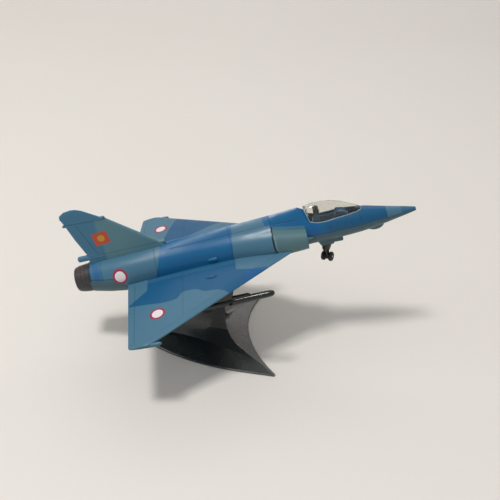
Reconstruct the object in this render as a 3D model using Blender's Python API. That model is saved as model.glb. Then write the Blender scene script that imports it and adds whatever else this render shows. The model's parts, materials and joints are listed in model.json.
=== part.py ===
"""Toy delta-wing jet fighter on a moulded display stand.

World frame: +X to the nose, +Y to port, +Z up, origin on the table under the middle of the model.
Every size below is in millimetres, and MM turns it into Blender's metres when a mesh is made.
The airframe is drawn level, in its own frame, and hangs from an empty that pitches it nose up.
"""

import math

import bmesh
import bpy
import numpy as np
from mathutils import Euler, Matrix, Vector

MM = 0.001

# How the airframe sits on its stand
PITCH = math.radians(14.65)
DATUM_HEIGHT = 39.9
DATUM_FORWARD = -0.46

# Fits: the gap between two glued pieces, and the wall of the moulded shells
GAP = 0.04
SEAM = 0.1
WALL = 1.0

# Fuselage stations, nose to tail. Each row is x, crest of the spine, roof beside the spine,
# belly, height of the widest point, half width, squareness, spine half width.
FRONT_STATIONS = (
    (65.0, -0.15, -0.15, -1.55, -0.85, 0.70, 2.00, 2.4),
    (64.3, 0.10, 0.10, -1.75, -0.83, 0.92, 2.00, 2.4),
    (59.3, 1.30, 1.30, -2.56, -0.63, 1.93, 2.00, 2.4),
    (52.5, 2.96, 2.96, -3.67, -0.30, 3.31, 2.05, 2.4),
    (45.5, 4.70, 4.70, -4.44, 0.00, 4.50, 2.10, 2.6),
    (38.0, 5.20, 5.20, -4.75, 0.10, 4.85, 2.20, 2.8),
    (29.0, 5.40, 5.40, -4.85, 0.10, 4.90, 2.20, 3.0),
    (25.3, 9.90, 5.70, -4.95, 0.10, 4.95, 2.20, 2.9),
    (22.0, 10.20, 5.90, -5.05, 0.10, 5.20, 2.20, 2.7),
    (17.3, 9.85, 6.05, -5.20, 0.10, 5.80, 2.20, 2.6),
    (13.0, 9.60, 6.20, -5.30, 0.00, 6.40, 2.20, 2.5),
)
REAR_STATIONS = (
    (12.9, 9.60, 6.20, -5.50, -0.20, 8.80, 2.40, 2.5),
    (3.5, 9.20, 6.30, -5.80, -0.70, 7.50, 2.40, 2.4),
    (-14.0, 8.50, 6.30, -6.00, -0.90, 6.60, 2.30, 2.3),
    (-29.0, 7.80, 6.70, -6.30, -0.60, 6.90, 2.30, 2.3),
    (-41.0, 7.20, 6.90, -6.60, -0.20, 7.20, 2.30, 2.3),
    (-46.0, 7.10, 6.95, -6.40, 0.00, 7.00, 2.20, 2.3),
    (-50.5, 6.80, 6.75, -5.60, 0.30, 6.20, 2.05, 2.3),
    (-54.5, 6.20, 6.20, -4.80, 0.65, 5.45, 2.00, 2.3),
)
STEP_X = 13.0
STEP_RUN = 0.1
RING_POINTS = 40
FRONT_RINGS = 15
REAR_RINGS = 12
CAVITY_NOSE_X = 47.0
CAVITY_TAIL_X = -49.5

# The small fairing under the nose
BULGE_PLACE = (50.0, 0.0, -3.75)
BULGE_RADII = (3.3, 1.75, 1.9)

# Seam between the two fuselage shells, nose to tail, as (x, z)
SEAM_LINE = (
    (67.0, -0.85),
    (50.0, 0.1),
    (12.7, 0.1),
    (12.4, -1.9),
    (-42.3, -1.9),
    (-42.7, 0.8),
    (-57.0, 2.1),
)

# Delta wing
SEMISPAN = 40.6
TIP_LEADING_X = -32.7
LEADING_SLOPE = 1.6
APEX_X = 19.4
CENTRE_FRONT_X = 11.7
CENTRE_HALF_WIDTH = 7.3
ROOT_TRAILING_X = -41.8
TIP_TRAILING_X = -39.2
WING_ROOT_Z = -1.62
WING_TIP_Z = -3.75
WING_ROOT_THICK = 2.4
WING_TIP_THICK = 1.0
WING_EDGE_HALF = 0.12
CHORD_POINTS = 12
TIP_POD_X = -32.4
TIP_POD_RADIUS = 0.7
TIP_POD_DROP = 0.5
TIP_POD_PROFILE = ((-5.6, 0.3), (-3.5, 0.7), (1.0, 1.0), (2.8, 1.0), (3.6, 0.75), (4.0, 0.3))
BLISTER_PLACE = (-10.6, 14.2, -1.35)
BLISTER_RADII = (2.1, 0.6, 0.75)

# Fin outline as (x, z), from the front of the root round the tip to the back of the root
FIN_OUTLINE = (
    (-24.6, 7.4),
    (-42.9, 23.6),
    (-44.2, 24.1),
    (-49.2, 27.7),
    (-51.2, 28.6),
    (-53.0, 28.8),
    (-55.4, 28.5),
    (-57.3, 27.4),
    (-57.6, 26.2),
    (-56.9, 24.2),
    (-55.3, 17.0),
    (-53.2, 9.7),
)
FIN_FOOT_Z = 5.0
FIN_ROOT_THICK = 1.9
FIN_TIP_THICK = 1.0
CHUTE_RADIUS = 1.05
CHUTE_Z = 8.85
CHUTE_FRONT_X = -44.0
CHUTE_TAIL_X = -57.1
FIN_TAB = (-33.0, -47.0, 4.6, 1.0)
# Small lamps on the fin's edges: their places as (x, z), and their profile along x
LAMP_PLACES = ((-56.6, 23.2), (-43.9, 23.45))
LAMP_PROFILE = ((-1.0, 0.3), (-0.7, 0.55), (1.2, 0.55), (1.6, 0.2))

# Air intakes: the trunk round the cockpit sides, in the same form as the fuselage stations
TRUNK_STATIONS = (
    (24.8, 3.85, 3.85, -4.55, -0.35, 8.35, 2.60, 2.5),
    (20.5, 4.60, 4.60, -4.85, -0.30, 8.50, 2.55, 2.5),
    (13.0 + GAP, 6.20, 6.20, -5.45, -0.20, 8.76, 2.40, 2.5),
)
TRUNK_INNER_Y = 3.7
DUCT_WALL = 0.8
DUCT_END_X = 15.5
SHOCK_CONE = (15.0, 27.2, 5.6, 1.9)

# Exhaust
NOZZLE_Z = 0.7
NOZZLE_FRONT_X = -54.6
NOZZLE_REAR_X = -60.1
NOZZLE_FRONT_RADIUS = 5.15
NOZZLE_REAR_RADIUS = 4.35
NOZZLE_WALL = 0.7
SPIGOT_RADIUS = 4.1
SPIGOT_FRONT_X = -51.5
BORE_CLEARANCE = 0.06

# Canopy stations, tail to nose: x at the sill, top, half width at the sill, lean of the section
CANOPY_STATIONS = (
    (27.0, 9.95, 3.15, -0.29),
    (29.6, 10.45, 3.30, -0.20),
    (32.6, 10.45, 3.30, -0.12),
    (35.6, 9.95, 3.15, -0.05),
    (38.6, 8.85, 2.90, 0.0),
    (41.6, 7.30, 2.50, 0.0),
    (44.0, 5.95, 2.05, 0.0),
    (45.2, 5.30, 1.45, 0.0),
    (45.8, 4.75, 0.70, 0.0),
)
CANOPY_FOOT_Z = 3.4
CANOPY_BULGE_Z = 5.0
CANOPY_WALL = 0.5
CANOPY_ARC = 14

# Cockpit
TUB_FRONT_X = 41.0
TUB_REAR_X = 28.0
TUB_HALF_WIDTH = 2.2
TUB_TOP_Z = 3.6
TUB_FLOOR_Z = -0.6
TUB_WALL = 0.5

# Nose gear: the foot of the leg stands at rest turned to port
NOSE_LEG_X = 31.4
NOSE_AXLE_Z = -12.5
NOSE_WHEEL_RADIUS = 1.8
NOSE_WHEEL_WIDTH = 1.1
NOSE_TRACK = 2.9
NOSE_TURN = math.radians(55.0)
NOSE_PIN_RADIUS = 0.7
NOSE_PIN_FIT = 0.05
NOSE_BOSS_RADIUS = 1.5
NOSE_PIN_TOP_Z = -2.6
# Side outline of the fairing round the leg, as (x, z)
FAIRING_OUTLINE = (
    (28.7, -4.0),
    (37.6, -4.0),
    (37.7, -5.9),
    (37.3, -6.3),
    (34.3, -6.15),
    (34.1, -6.8),
    (29.7, -6.8),
    (29.0, -5.6),
    (28.7, -5.0),
)
FAIRING_HALF_WIDTH = 2.0
# Rings of the leg from its shoulder down: height, half length, half breadth, shift to port
NOSE_LEG_RINGS = (
    (-6.85, 1.95, 1.95, -0.4),
    (-8.4, 1.7, 1.7, -0.1),
    (-9.3, 1.5, 1.5, 0.1),
    (-10.4, 0.88, 0.84, 0.0),
    (-12.3, 0.8, 0.8, 0.0),
    (-13.4, 0.6, 0.75, 0.0),
)
NOSE_LEG_LEAN = 0.11

# Main gear
MAIN_LEG_X = -15.0
MAIN_LEG_Y = 15.0
MAIN_AXLE_Z = -12.6
MAIN_WHEEL_RADIUS = 2.9
MAIN_WHEEL_WIDTH = 1.8
AXLE_RADIUS = 0.42
AXLE_FIT = 0.04

# Missiles and their pylons
STORE_Y = 21.5
MISSILE_NOSE_X = 9.7
MISSILE_RADIUS = 1.2
MISSILE_Z = -7.95
# Its shape as (distance behind the nose, share of the radius)
MISSILE_PROFILE = (
    (0.0, 0.2),
    (0.2, 0.52),
    (0.7, 0.8),
    (1.5, 0.94),
    (2.6, 1.0),
    (34.4, 1.0),
    (35.0, 0.75),
)
# Its vanes as (front, rear, reach, angles about its axis), measured behind the nose
MISSILE_VANES = (
    (13.2, 15.6, 2.3, (0.0,)),
    (29.6, 34.2, 2.8, (45.0, 135.0)),
)
VANE_HALF_THICK = 0.16
RAIL_GAP = 0.05
RAIL_HEIGHT = 0.6
RAIL_HALF_WIDTH = 0.65

# Screws that hold the shells together
SCREW_PLACES = {"front_screw": 22.0, "rear_screw": -35.0}
SCREW_HEAD_RADIUS = 1.5
SCREW_SHANK_RADIUS = 0.75
BOSS_RADIUS = 2.1

# Stand
STAND_FORWARD = -0.36
PEG_X = -1.5
PEG_RADIUS = 1.6
PEG_FIT = 0.06
PEG_LENGTH = 7.0
SOCKET_RADIUS = 2.6
SOCKET_TOP_Z = 2.4
ARM_TOP_Z = -6.12

# Stand levels from the table up. Each row is height, corner x, corner y, middle of the front
# edge, tail x, and how far the sides bow out (below zero, in).
STAND_LEVELS = (
    (0.0, 13.9, 26.6, 5.3, -38.5, 5.75),
    (0.5, 13.9, 26.6, 5.3, -38.5, 5.75),
    (0.75, 13.5, 26.2, 5.0, -38.1, 5.6),
    (1.3, 9.3, 21.4, 2.5, -34.5, -3.6),
    (1.75, 4.4, 16.0, -0.4, -32.5, -2.4),
    (2.3, 0.3, 11.2, -3.0, -30.5, -1.2),
    (3.3, -2.0, 7.7, -4.5, -27.5, -0.5),
    (5.0, -3.2, 5.2, -5.2, -24.0, -0.2),
    (9.0, -4.1, 4.1, -5.4, -18.0, 0.0),
    (15.0, -4.5, 3.6, -5.4, -13.8, 0.2),
    (22.0, -3.4, 3.3, -4.0, -11.0, 0.4),
    (28.5, -1.4, 3.3, -1.7, -8.2, 0.7),
)
ARM_PAD = (2.6, 3.3, 2.4, -5.0, 1.0)
STAND_RECESS = (10.0, 22.2, 3.4, -33.5, 5.0)
STAND_RECESS_DEPTH = 0.35
# A side bows out most beyond its middle, when the first of these powers is the larger
SIDE_BOW = (1.15, 0.85)
# The port half is a little narrower than the starboard half
PORT_SHARE = 0.9

# Colour, roughness, metallic value and transmission of each sub-part's material
BLUE = (0.020, 0.095, 0.235)
SKY = (0.095, 0.215, 0.305)
GREY = (0.082, 0.150, 0.180)
BLACK = (0.012, 0.013, 0.013)
LOOKS = {
    "upper_paint": (BLUE, 0.35, 0.0, 0.0),
    "lower_plastic": (GREY, 0.42, 0.0, 0.0),
    "wing_paint": (SKY, 0.35, 0.0, 0.0),
    "fin_paint": (GREY, 0.38, 0.0, 0.0),
    "intake_plastic": (GREY, 0.40, 0.0, 0.0),
    "fairing_plastic": (GREY, 0.45, 0.0, 0.0),
    "canopy_clear": ((0.90, 0.93, 0.95), 0.05, 0.0, 1.0),
    "tub_plastic": (BLACK, 0.50, 0.0, 0.0),
    "panel_plastic": (BLACK, 0.45, 0.0, 0.0),
    "seat_plastic": ((0.020, 0.022, 0.024), 0.55, 0.0, 0.0),
    "nozzle_plastic": ((0.055, 0.056, 0.054), 0.50, 0.3, 0.0),
    "core_plastic": ((0.020, 0.018, 0.016), 0.60, 0.0, 0.0),
    "gear_plastic": (BLACK, 0.40, 0.0, 0.0),
    "tyre_rubber": ((0.014, 0.014, 0.014), 0.70, 0.0, 0.0),
    "axle_steel": ((0.50, 0.50, 0.50), 0.30, 1.0, 0.0),
    "screw_steel": ((0.42, 0.42, 0.43), 0.35, 1.0, 0.0),
    "pylon_plastic": (BLACK, 0.35, 0.0, 0.0),
    "missile_plastic": ((0.014, 0.016, 0.014), 0.25, 0.0, 0.0),
    "stand_plastic": (BLACK, 0.20, 0.0, 0.0),
}


# ---------------------------------------------------------------- meshes and materials


def clear_scene():
    for item in list(bpy.data.objects):
        bpy.data.objects.remove(item, do_unlink=True)


def make_material(name):
    colour, roughness, metallic, transmission = LOOKS[name]
    material = bpy.data.materials.new(name)
    material.use_nodes = True
    shader = material.node_tree.nodes["Principled BSDF"]
    shader.inputs["Base Color"].default_value = (*colour, 1.0)
    shader.inputs["Roughness"].default_value = roughness
    shader.inputs["Metallic"].default_value = metallic
    shader.inputs["Transmission Weight"].default_value = transmission
    return material


def add_object(name, bm, material=None, parent=None, smooth=35.0):
    """Make an object from a bmesh drawn in millimetres, and free the bmesh."""
    bmesh.ops.recalc_face_normals(bm, faces=bm.faces)
    bmesh.ops.scale(bm, vec=(MM, MM, MM), verts=bm.verts)
    mesh = bpy.data.meshes.new(name)
    bm.to_mesh(mesh)
    bm.free()
    mesh.shade_smooth()
    mesh.set_sharp_from_angle(angle=math.radians(smooth))
    made = bpy.data.objects.new(name, mesh)
    bpy.context.scene.collection.objects.link(made)
    if material:
        mesh.materials.append(material)
    made.parent = parent
    return made


def add_cutter(name, bm, parent=None):
    """A helper shape for a Boolean, which is no part of the model."""
    made = add_object(name, bm, parent=parent)
    made.hide_render = True
    made.display_type = "WIRE"
    return made


def boolean(target, tool, operation="DIFFERENCE"):
    modifier = target.modifiers.new(f"{operation.lower()} {tool.name}", "BOOLEAN")
    modifier.operation = operation
    modifier.solver = "EXACT"
    modifier.object = tool


def loft(bm, rings):
    """Skin a row of rings that hold the same number of points, and close both ends."""
    loops = [[bm.verts.new(point) for point in ring] for ring in rings]
    count = len(loops[0])
    for first, second in zip(loops, loops[1:]):
        for i in range(count):
            j = (i + 1) % count
            bm.faces.new((first[i], first[j], second[j], second[i]))
    bm.faces.new(loops[0])
    bm.faces.new(reversed(loops[-1]))


def circle(radius, points, turn=0.0):
    """Points round a circle in its own plane."""
    steps = (2.0 * math.pi * (i + turn) / points for i in range(points))
    return [(radius * math.cos(a), radius * math.sin(a)) for a in steps]


def turned_rings(profile, origin, axis, points):
    """One ring of points round the axis for each (distance along it, radius) of the profile."""
    order = {"X": (0, 1, 2), "Y": (1, 2, 0), "Z": (2, 0, 1)}[axis]
    rings = []
    for distance, radius in profile:
        ring = []
        for pair in circle(radius, points, turn=0.5):
            point = Vector(origin)
            for slot, value in zip(order, (distance, *pair)):
                point[slot] += value
            ring.append(point)
        rings.append(ring)
    return rings


def turned(bm, profile, origin, axis="X", points=24):
    """A solid of revolution: profile is (distance along the axis, radius), both ends closed."""
    loft(bm, turned_rings(profile, origin, axis, points))


def turned_ring(bm, profile, origin, axis="X", points=24):
    """A turned ring with a hole through it: profile is a closed outline off the axis."""
    rings = turned_rings(profile, origin, axis, points)
    loops = [[bm.verts.new(point) for point in ring] for ring in rings]
    for first, second in zip(loops, loops[1:] + loops[:1]):
        for i in range(points):
            j = (i + 1) % points
            bm.faces.new((first[i], first[j], second[j], second[i]))


def box(bm, low, high):
    centre = [(a + b) / 2 for a, b in zip(low, high)]
    size = [b - a for a, b in zip(low, high)]
    matrix = Matrix.Translation(centre) @ Matrix.Diagonal((*size, 1.0))
    bmesh.ops.create_cube(bm, size=1.0, matrix=matrix)


def prism(bm, outline, half_width, plane="XZ"):
    """An outline in the XZ or the XY plane, drawn out to both sides of it."""
    near, far = -half_width, half_width
    if plane == "XZ":
        loft(bm, [[(x, near, z) for x, z in outline], [(x, far, z) for x, z in outline]])
    else:
        loft(bm, [[(x, y, near) for x, y in outline], [(x, y, far) for x, y in outline]])


# ---------------------------------------------------------------- fuselage surfaces


def at_station(stations, x):
    """The row at x, read from a smooth curve through the stations."""
    table = np.array(stations)
    places = -table[:, 0]
    slopes = np.diff(table, axis=0) / np.diff(places)[:, None]
    inner = (slopes[1:] + slopes[:-1]) / 2.0
    inner[slopes[1:] * slopes[:-1] <= 0.0] = 0.0
    tangents = np.vstack([slopes[:1], inner, slopes[-1:]])
    k = int(np.clip(np.searchsorted(places, -x) - 1, 0, len(places) - 2))
    length = places[k + 1] - places[k]
    u = (-x - places[k]) / length
    start = (1 + 2 * u) * (1 - u) ** 2 * table[k] + u * (1 - u) ** 2 * length * tangents[k]
    end = u * u * (3 - 2 * u) * table[k + 1] + u * u * (u - 1) * length * tangents[k + 1]
    return start + end


def section(row, grow, points):
    """One ring round the fuselage: a squared ellipse with the spine as a hump on its roof."""
    x, crest, roof, belly, widest, half_width, power, spine = row
    ring = []
    for i in range(points):
        angle = 2.0 * math.pi * i / points
        c, s = math.cos(angle), math.sin(angle)
        y = (half_width + grow) * math.copysign(abs(c) ** (2.0 / power), c)
        reach = (roof - widest if s > 0.0 else widest - belly) + grow
        z = widest + reach * math.copysign(abs(s) ** (2.0 / power), s)
        if s > 0.0:
            z += (crest - roof) * math.exp(-((y / spine) ** 2)) * s
        ring.append((x, y, z))
    return ring


def rows_between(stations, first, last, count):
    return [at_station(stations, first + (last - first) * i / (count - 1)) for i in range(count)]


def fuselage_body(bm, grow=0.0, nose=None, tail=None, step=STEP_X, points=RING_POINTS, fine=1.0):
    nose = FRONT_STATIONS[0][0] if nose is None else nose
    tail = REAR_STATIONS[-1][0] if tail is None else tail
    rows = rows_between(FRONT_STATIONS, nose, step, int(FRONT_RINGS * fine) + 1)
    rows += rows_between(REAR_STATIONS, step - STEP_RUN, tail, int(REAR_RINGS * fine) + 1)
    loft(bm, [section(row, grow, points) for row in rows])


def grown_body(name, parent):
    """The fuselage a fit's gap larger all round, to trim what is glued on it."""
    bm = bmesh.new()
    fuselage_body(bm, grow=GAP)
    return add_cutter(name, bm, parent)


def side_region(name, parent, above):
    """Everything above or below the shell seam, less half the seam gap."""
    shift = SEAM / 2.0 if above else -SEAM / 2.0
    line = [(x, z - shift) for x, z in SEAM_LINE]
    far_z = 40.0 if above else -40.0
    bm = bmesh.new()
    prism(bm, line + [(line[-1][0], far_z), (line[0][0], far_z)], 20.0)
    return add_cutter(name, bm, parent)


def heights_at(x):
    """Height of the spine's crest, of the roof beside it and of the belly."""
    _, crest, roof, belly, *_ = at_station(FRONT_STATIONS if x > STEP_X else REAR_STATIONS, x)
    return crest, roof, belly


# ---------------------------------------------------------------- wing


def wing_edge(y):
    """Leading and trailing edge of the plan at a distance from the middle."""
    leading = min(APEX_X, TIP_LEADING_X + (SEMISPAN - y) * LEADING_SLOPE)
    trailing = ROOT_TRAILING_X + (TIP_TRAILING_X - ROOT_TRAILING_X) * y / SEMISPAN
    return leading, trailing


def wing_section(y, grow, trim=0.0, front=0.0):
    """One chord of the wing, from the leading edge over the top and back underneath."""
    out = min(abs(y) / SEMISPAN, 1.0)
    leading, trailing = wing_edge(min(abs(y), SEMISPAN))
    leading += grow - trim
    trailing += trim - grow
    thick = WING_ROOT_THICK + (WING_TIP_THICK - WING_ROOT_THICK) * out
    thick *= 1.0 - 0.45 * trim
    middle = WING_ROOT_Z + (WING_TIP_Z - WING_ROOT_Z) * out
    upper, lower = [], []
    for i in range(CHORD_POINTS):
        u = (1.0 - math.cos(math.pi * i / (CHORD_POINTS - 1))) / 2.0
        u = front + (1.0 - front) * u
        half = thick / 2.0 * (2.598 * math.sqrt(u) * (1.0 - u) + 0.3 * u)
        half += grow + WING_EDGE_HALF * (1.0 - u)
        x = leading + (trailing - leading) * u
        upper.append((x, y, middle + half))
        lower.append((x, y, middle - half))
    return upper + lower[::-1]


def wing_plate(bm, grow=0.0):
    root = SEMISPAN - (APEX_X - TIP_LEADING_X) / LEADING_SLOPE
    cut = (APEX_X - CENTRE_FRONT_X) / (APEX_X - ROOT_TRAILING_X)
    side = [
        (CENTRE_HALF_WIDTH + 0.05, 0.0),
        (root, 0.0),
        (20.0, 0.0),
        (32.0, 0.0),
        (SEMISPAN - 0.7, 0.0),
        (SEMISPAN - 0.2, 0.35),
        (SEMISPAN, 0.9),
    ]
    rings = [wing_section(-y, grow, trim) for y, trim in reversed(side)]
    middle = CENTRE_HALF_WIDTH - grow
    rings += [wing_section(y, grow, front=cut) for y in (-middle, 0.0, middle)]
    rings += [wing_section(y, grow, trim) for y, trim in side]
    loft(bm, rings)


def make_wing(looks, frame):
    bm = bmesh.new()
    wing_plate(bm)
    wing = add_object("delta_wing", bm, looks["wing_paint"], frame, smooth=50.0)
    bm = bmesh.new()
    for place in (-1, 1):
        pod_y = place * (SEMISPAN - 0.8)
        profile = [(x, share * TIP_POD_RADIUS) for x, share in TIP_POD_PROFILE]
        turned(bm, profile, (TIP_POD_X, pod_y, WING_TIP_Z - TIP_POD_DROP), points=12)
        x, y, z = BLISTER_PLACE
        matrix = Matrix.Translation((x, place * y, z)) @ Matrix.Diagonal((*BLISTER_RADII, 1.0))
        bmesh.ops.create_uvsphere(bm, u_segments=12, v_segments=8, radius=1.0, matrix=matrix)
    boolean(wing, add_cutter("wing_fairings", bm, frame), "UNION")
    bm = bmesh.new()
    holes = ((PEG_X, SOCKET_RADIUS + 0.3), (SCREW_PLACES["rear_screw"], BOSS_RADIUS + 0.3))
    for x, radius in holes:
        turned(bm, ((-6.0, radius), (2.0, radius)), (x, 0.0, 0.0), "Z")
    boolean(wing, add_cutter("wing_holes", bm, frame))


# ---------------------------------------------------------------- fuselage shells


def canopy_body(bm, grow=0.0, foot=CANOPY_FOOT_Z):
    """The glazed hood as one solid, from a flat foot inside the fuselage to its round top."""
    rings = []
    for index, (sill_x, top, half_width, lean) in enumerate(CANOPY_STATIONS):
        width = max(half_width + grow, 0.12)
        crown = top + grow
        shift = -grow if index == 0 else (grow if index == len(CANOPY_STATIONS) - 1 else 0.0)
        base = min(CANOPY_BULGE_Z, top - 0.6)
        ring = [(sill_x + shift, -width, foot)]
        for i in range(CANOPY_ARC + 1):
            angle = math.pi * i / CANOPY_ARC
            y = -width * math.cos(angle)
            z = base + (crown - base) * math.sin(angle) ** 0.9
            ring.append((sill_x + shift + lean * (z - base), y, z))
        ring.append((sill_x + shift, width, foot))
        rings.append(ring)
    loft(bm, rings)


def shared_cutters(frame):
    """The cutters that more than one piece uses."""
    cutters = {"above": side_region("region_above", frame, True)}
    cutters["below"] = side_region("region_below", frame, False)
    cutters["body"] = grown_body("body_trim", frame)
    bm = bmesh.new()
    fuselage_body(
        bm, -WALL, CAVITY_NOSE_X, CAVITY_TAIL_X, STEP_X - WALL, points=20, fine=0.5
    )
    cutters["cavity"] = add_cutter("cavity", bm, frame)
    bm = bmesh.new()
    wing_plate(bm, grow=GAP)
    cutters["wing"] = add_cutter("wing_trim", bm, frame)
    bm = bmesh.new()
    radius = SPIGOT_RADIUS + BORE_CLEARANCE
    turned(bm, ((-58.0, radius), (-48.0, radius)), (0.0, 0.0, NOZZLE_Z), points=30)
    cutters["bore"] = add_cutter("tail_bore", bm, frame)
    bm = bmesh.new()
    canopy_body(bm, grow=GAP, foot=CANOPY_FOOT_Z - GAP)
    cutters["canopy"] = add_cutter("canopy_trim", bm, frame)
    return cutters


def make_upper_fuselage(looks, frame, cutters):
    bm = bmesh.new()
    fuselage_body(bm)
    shell = add_object("upper_fuselage", bm, looks["upper_paint"], frame)
    boolean(shell, cutters["cavity"])
    bm = bmesh.new()
    for x in SCREW_PLACES.values():
        crest, roof, _ = heights_at(x)
        profile = ((0.6, BOSS_RADIUS), (roof - 1.6, BOSS_RADIUS), (crest - 0.5, 0.8))
        turned(bm, profile, (x, 0.0, 0.0), "Z", 16)
    boolean(shell, add_cutter("upper_bosses", bm, frame), "UNION")
    bm = bmesh.new()
    front, rear, foot, thick = FIN_TAB
    low = (rear - GAP, -thick / 2 - GAP, foot - 3.0)
    box(bm, low, (front + GAP, thick / 2 + GAP, 12.0))
    for x in SCREW_PLACES.values():
        _, roof, _ = heights_at(x)
        thread = SCREW_SHANK_RADIUS + 0.03
        turned(bm, ((0.0, thread), (roof - 2.0, thread)), (x, 0.0, 0.0), "Z", 16)
    boolean(shell, add_cutter("upper_slots", bm, frame))
    for key in ("canopy", "below", "wing", "bore"):
        boolean(shell, cutters[key])
    bm = bmesh.new()
    for side in (-1, 1):
        profile = ((-11.9, 0.15), (-10.6, 0.75), (-8.0, 0.85), (-7.8, 0.4))
        turned(bm, profile, (0.0, side * 6.3, 0.6), points=12)
    boolean(shell, add_cutter("cooling_scoops", bm, frame), "UNION")


def make_lower_fuselage(looks, frame, cutters):
    bm = bmesh.new()
    fuselage_body(bm)
    shell = add_object("lower_fuselage", bm, looks["lower_plastic"], frame)
    boolean(shell, cutters["cavity"])
    bm = bmesh.new()
    bosses = [(x, BOSS_RADIUS, 0.5, 16) for x in SCREW_PLACES.values()]
    bosses.append((PEG_X, SOCKET_RADIUS, SOCKET_TOP_Z, 20))
    bosses.append((NOSE_LEG_X, NOSE_BOSS_RADIUS, NOSE_PIN_TOP_Z + 0.9, 14))
    for x, radius, top, points in bosses:
        _, _, belly = heights_at(x)
        turned(bm, ((belly + 0.4, radius), (top, radius)), (x, 0.0, 0.0), "Z", points)
    boolean(shell, add_cutter("lower_bosses", bm, frame), "UNION")
    boolean(shell, cutters["above"])
    bm = bmesh.new()
    matrix = Matrix.Translation(BULGE_PLACE) @ Matrix.Diagonal((*BULGE_RADII, 1.0))
    bmesh.ops.create_uvsphere(bm, u_segments=16, v_segments=10, radius=1.0, matrix=matrix)
    boolean(shell, add_cutter("nose_bulge", bm, frame), "UNION")

    # The bores go in last, so that they open through the bosses and the belly.
    bm = bmesh.new()
    for x in SCREW_PLACES.values():
        _, _, belly = heights_at(x)
        head = SCREW_HEAD_RADIUS + 0.1
        shank = SCREW_SHANK_RADIUS + 0.15
        profile = ((-9.0, head), (belly + 1.5, head), (belly + 1.5, shank), (2.0, shank))
        turned(bm, profile, (x, 0.0, 0.0), "Z", 20)
    bore = PEG_RADIUS + PEG_FIT
    turned(bm, ((-9.0, bore), (ARM_TOP_Z + PEG_LENGTH + 0.3, bore)), (PEG_X, 0.0, 0.0), "Z", 24)
    pin = NOSE_PIN_RADIUS + NOSE_PIN_FIT
    turned(bm, ((-9.0, pin), (NOSE_PIN_TOP_Z + 0.2, pin)), (NOSE_LEG_X, 0.0, 0.0), "Z", 16)
    boolean(shell, add_cutter("lower_bores", bm, frame))
    for key in ("wing", "bore"):
        boolean(shell, cutters[key])


# ---------------------------------------------------------------- fin, intakes, exhaust


def make_fin(looks, frame, cutters):
    """A blade that thins towards its tip, on a tab, with the brake-chute tube at its foot."""
    bm = bmesh.new()
    outline = list(FIN_OUTLINE) + [(-53.4, FIN_FOOT_Z), (-22.0, FIN_FOOT_Z)]
    centre_x = sum(x for x, _ in outline) / len(outline)
    middle_z = sum(z for _, z in outline) / len(outline)

    def half_thick(z):
        share = min(max((z - 7.0) / 21.8, 0.0), 1.0)
        return (FIN_ROOT_THICK + (FIN_TIP_THICK - FIN_ROOT_THICK) * share) / 2.0

    def ring(shrink, side, share):
        points = []
        for x, z in outline:
            dx, dz = centre_x - x, middle_z - z
            reach = math.hypot(dx, dz)
            pull = shrink if z > FIN_FOOT_Z + 0.1 else 0.0
            px, pz = x + dx / reach * pull, z + dz / reach * pull
            points.append((px, side * half_thick(z) * share, pz))
        return points

    loft(bm, [ring(1.3, -1, 1.0), ring(0.35, -1, 0.7), ring(0.0, -1, 0.25),
              ring(0.0, 1, 0.25), ring(0.35, 1, 0.7), ring(1.3, 1, 1.0)])
    fin = add_object("tail_fin", bm, looks["fin_paint"], frame, smooth=50.0)
    bm = bmesh.new()
    profile = ((CHUTE_TAIL_X, 0.7), (CHUTE_TAIL_X + 0.35, CHUTE_RADIUS),
               (CHUTE_FRONT_X - 3.0, CHUTE_RADIUS), (CHUTE_FRONT_X, 0.85), (-24.9, 0.8))
    turned(bm, profile, (0.0, 0.0, CHUTE_Z), points=16)
    boolean(fin, add_cutter("chute_tube", bm, frame), "UNION")
    bm = bmesh.new()
    for x, z in LAMP_PLACES:
        turned(bm, LAMP_PROFILE, (x, 0.0, z), points=12)
    boolean(fin, add_cutter("fin_lamps", bm, frame), "UNION")
    boolean(fin, cutters["body"])
    bm = bmesh.new()
    front, rear, foot, thick = FIN_TAB
    box(bm, (rear, -thick / 2, foot), (front, thick / 2, 9.5))
    boolean(fin, add_cutter("fin_tab", bm, frame), "UNION")


def make_intake(side_name, side, looks, frame, cutters):
    name = f"{side_name}_intake"
    bm = bmesh.new()
    rows = rows_between(TRUNK_STATIONS, TRUNK_STATIONS[0][0], TRUNK_STATIONS[-1][0], 7)
    loft(bm, [section(row, 0.0, RING_POINTS) for row in rows])
    intake = add_object(name, bm, looks["intake_plastic"], frame)
    bm = bmesh.new()
    rows = rows_between(TRUNK_STATIONS, TRUNK_STATIONS[0][0], DUCT_END_X, 5)
    rings = [section(row, -DUCT_WALL, 28) for row in rows]
    rings.insert(0, [(TRUNK_STATIONS[0][0] + 1.0, y, z) for _, y, z in rings[0]])
    loft(bm, rings)
    boolean(intake, add_cutter(f"{name}_duct", bm, frame))
    bm = bmesh.new()
    start, tip, cone_y, radius = SHOCK_CONE
    profile = ((start, radius), (start + 6.0, radius * 0.85), (tip - 0.3, 0.2))
    turned(bm, profile, (0.0, side * cone_y, 0.0), points=16)
    boolean(intake, add_cutter(f"{name}_cone", bm, frame), "UNION")
    bm = bmesh.new()
    low, high = sorted((side * TRUNK_INNER_Y, -side * 30.0))
    box(bm, (10.0, low, -12.0), (30.0, high, 12.0))
    boolean(intake, add_cutter(f"{name}_half", bm, frame))
    boolean(intake, cutters["body"])
    boolean(intake, cutters["wing"])


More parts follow.
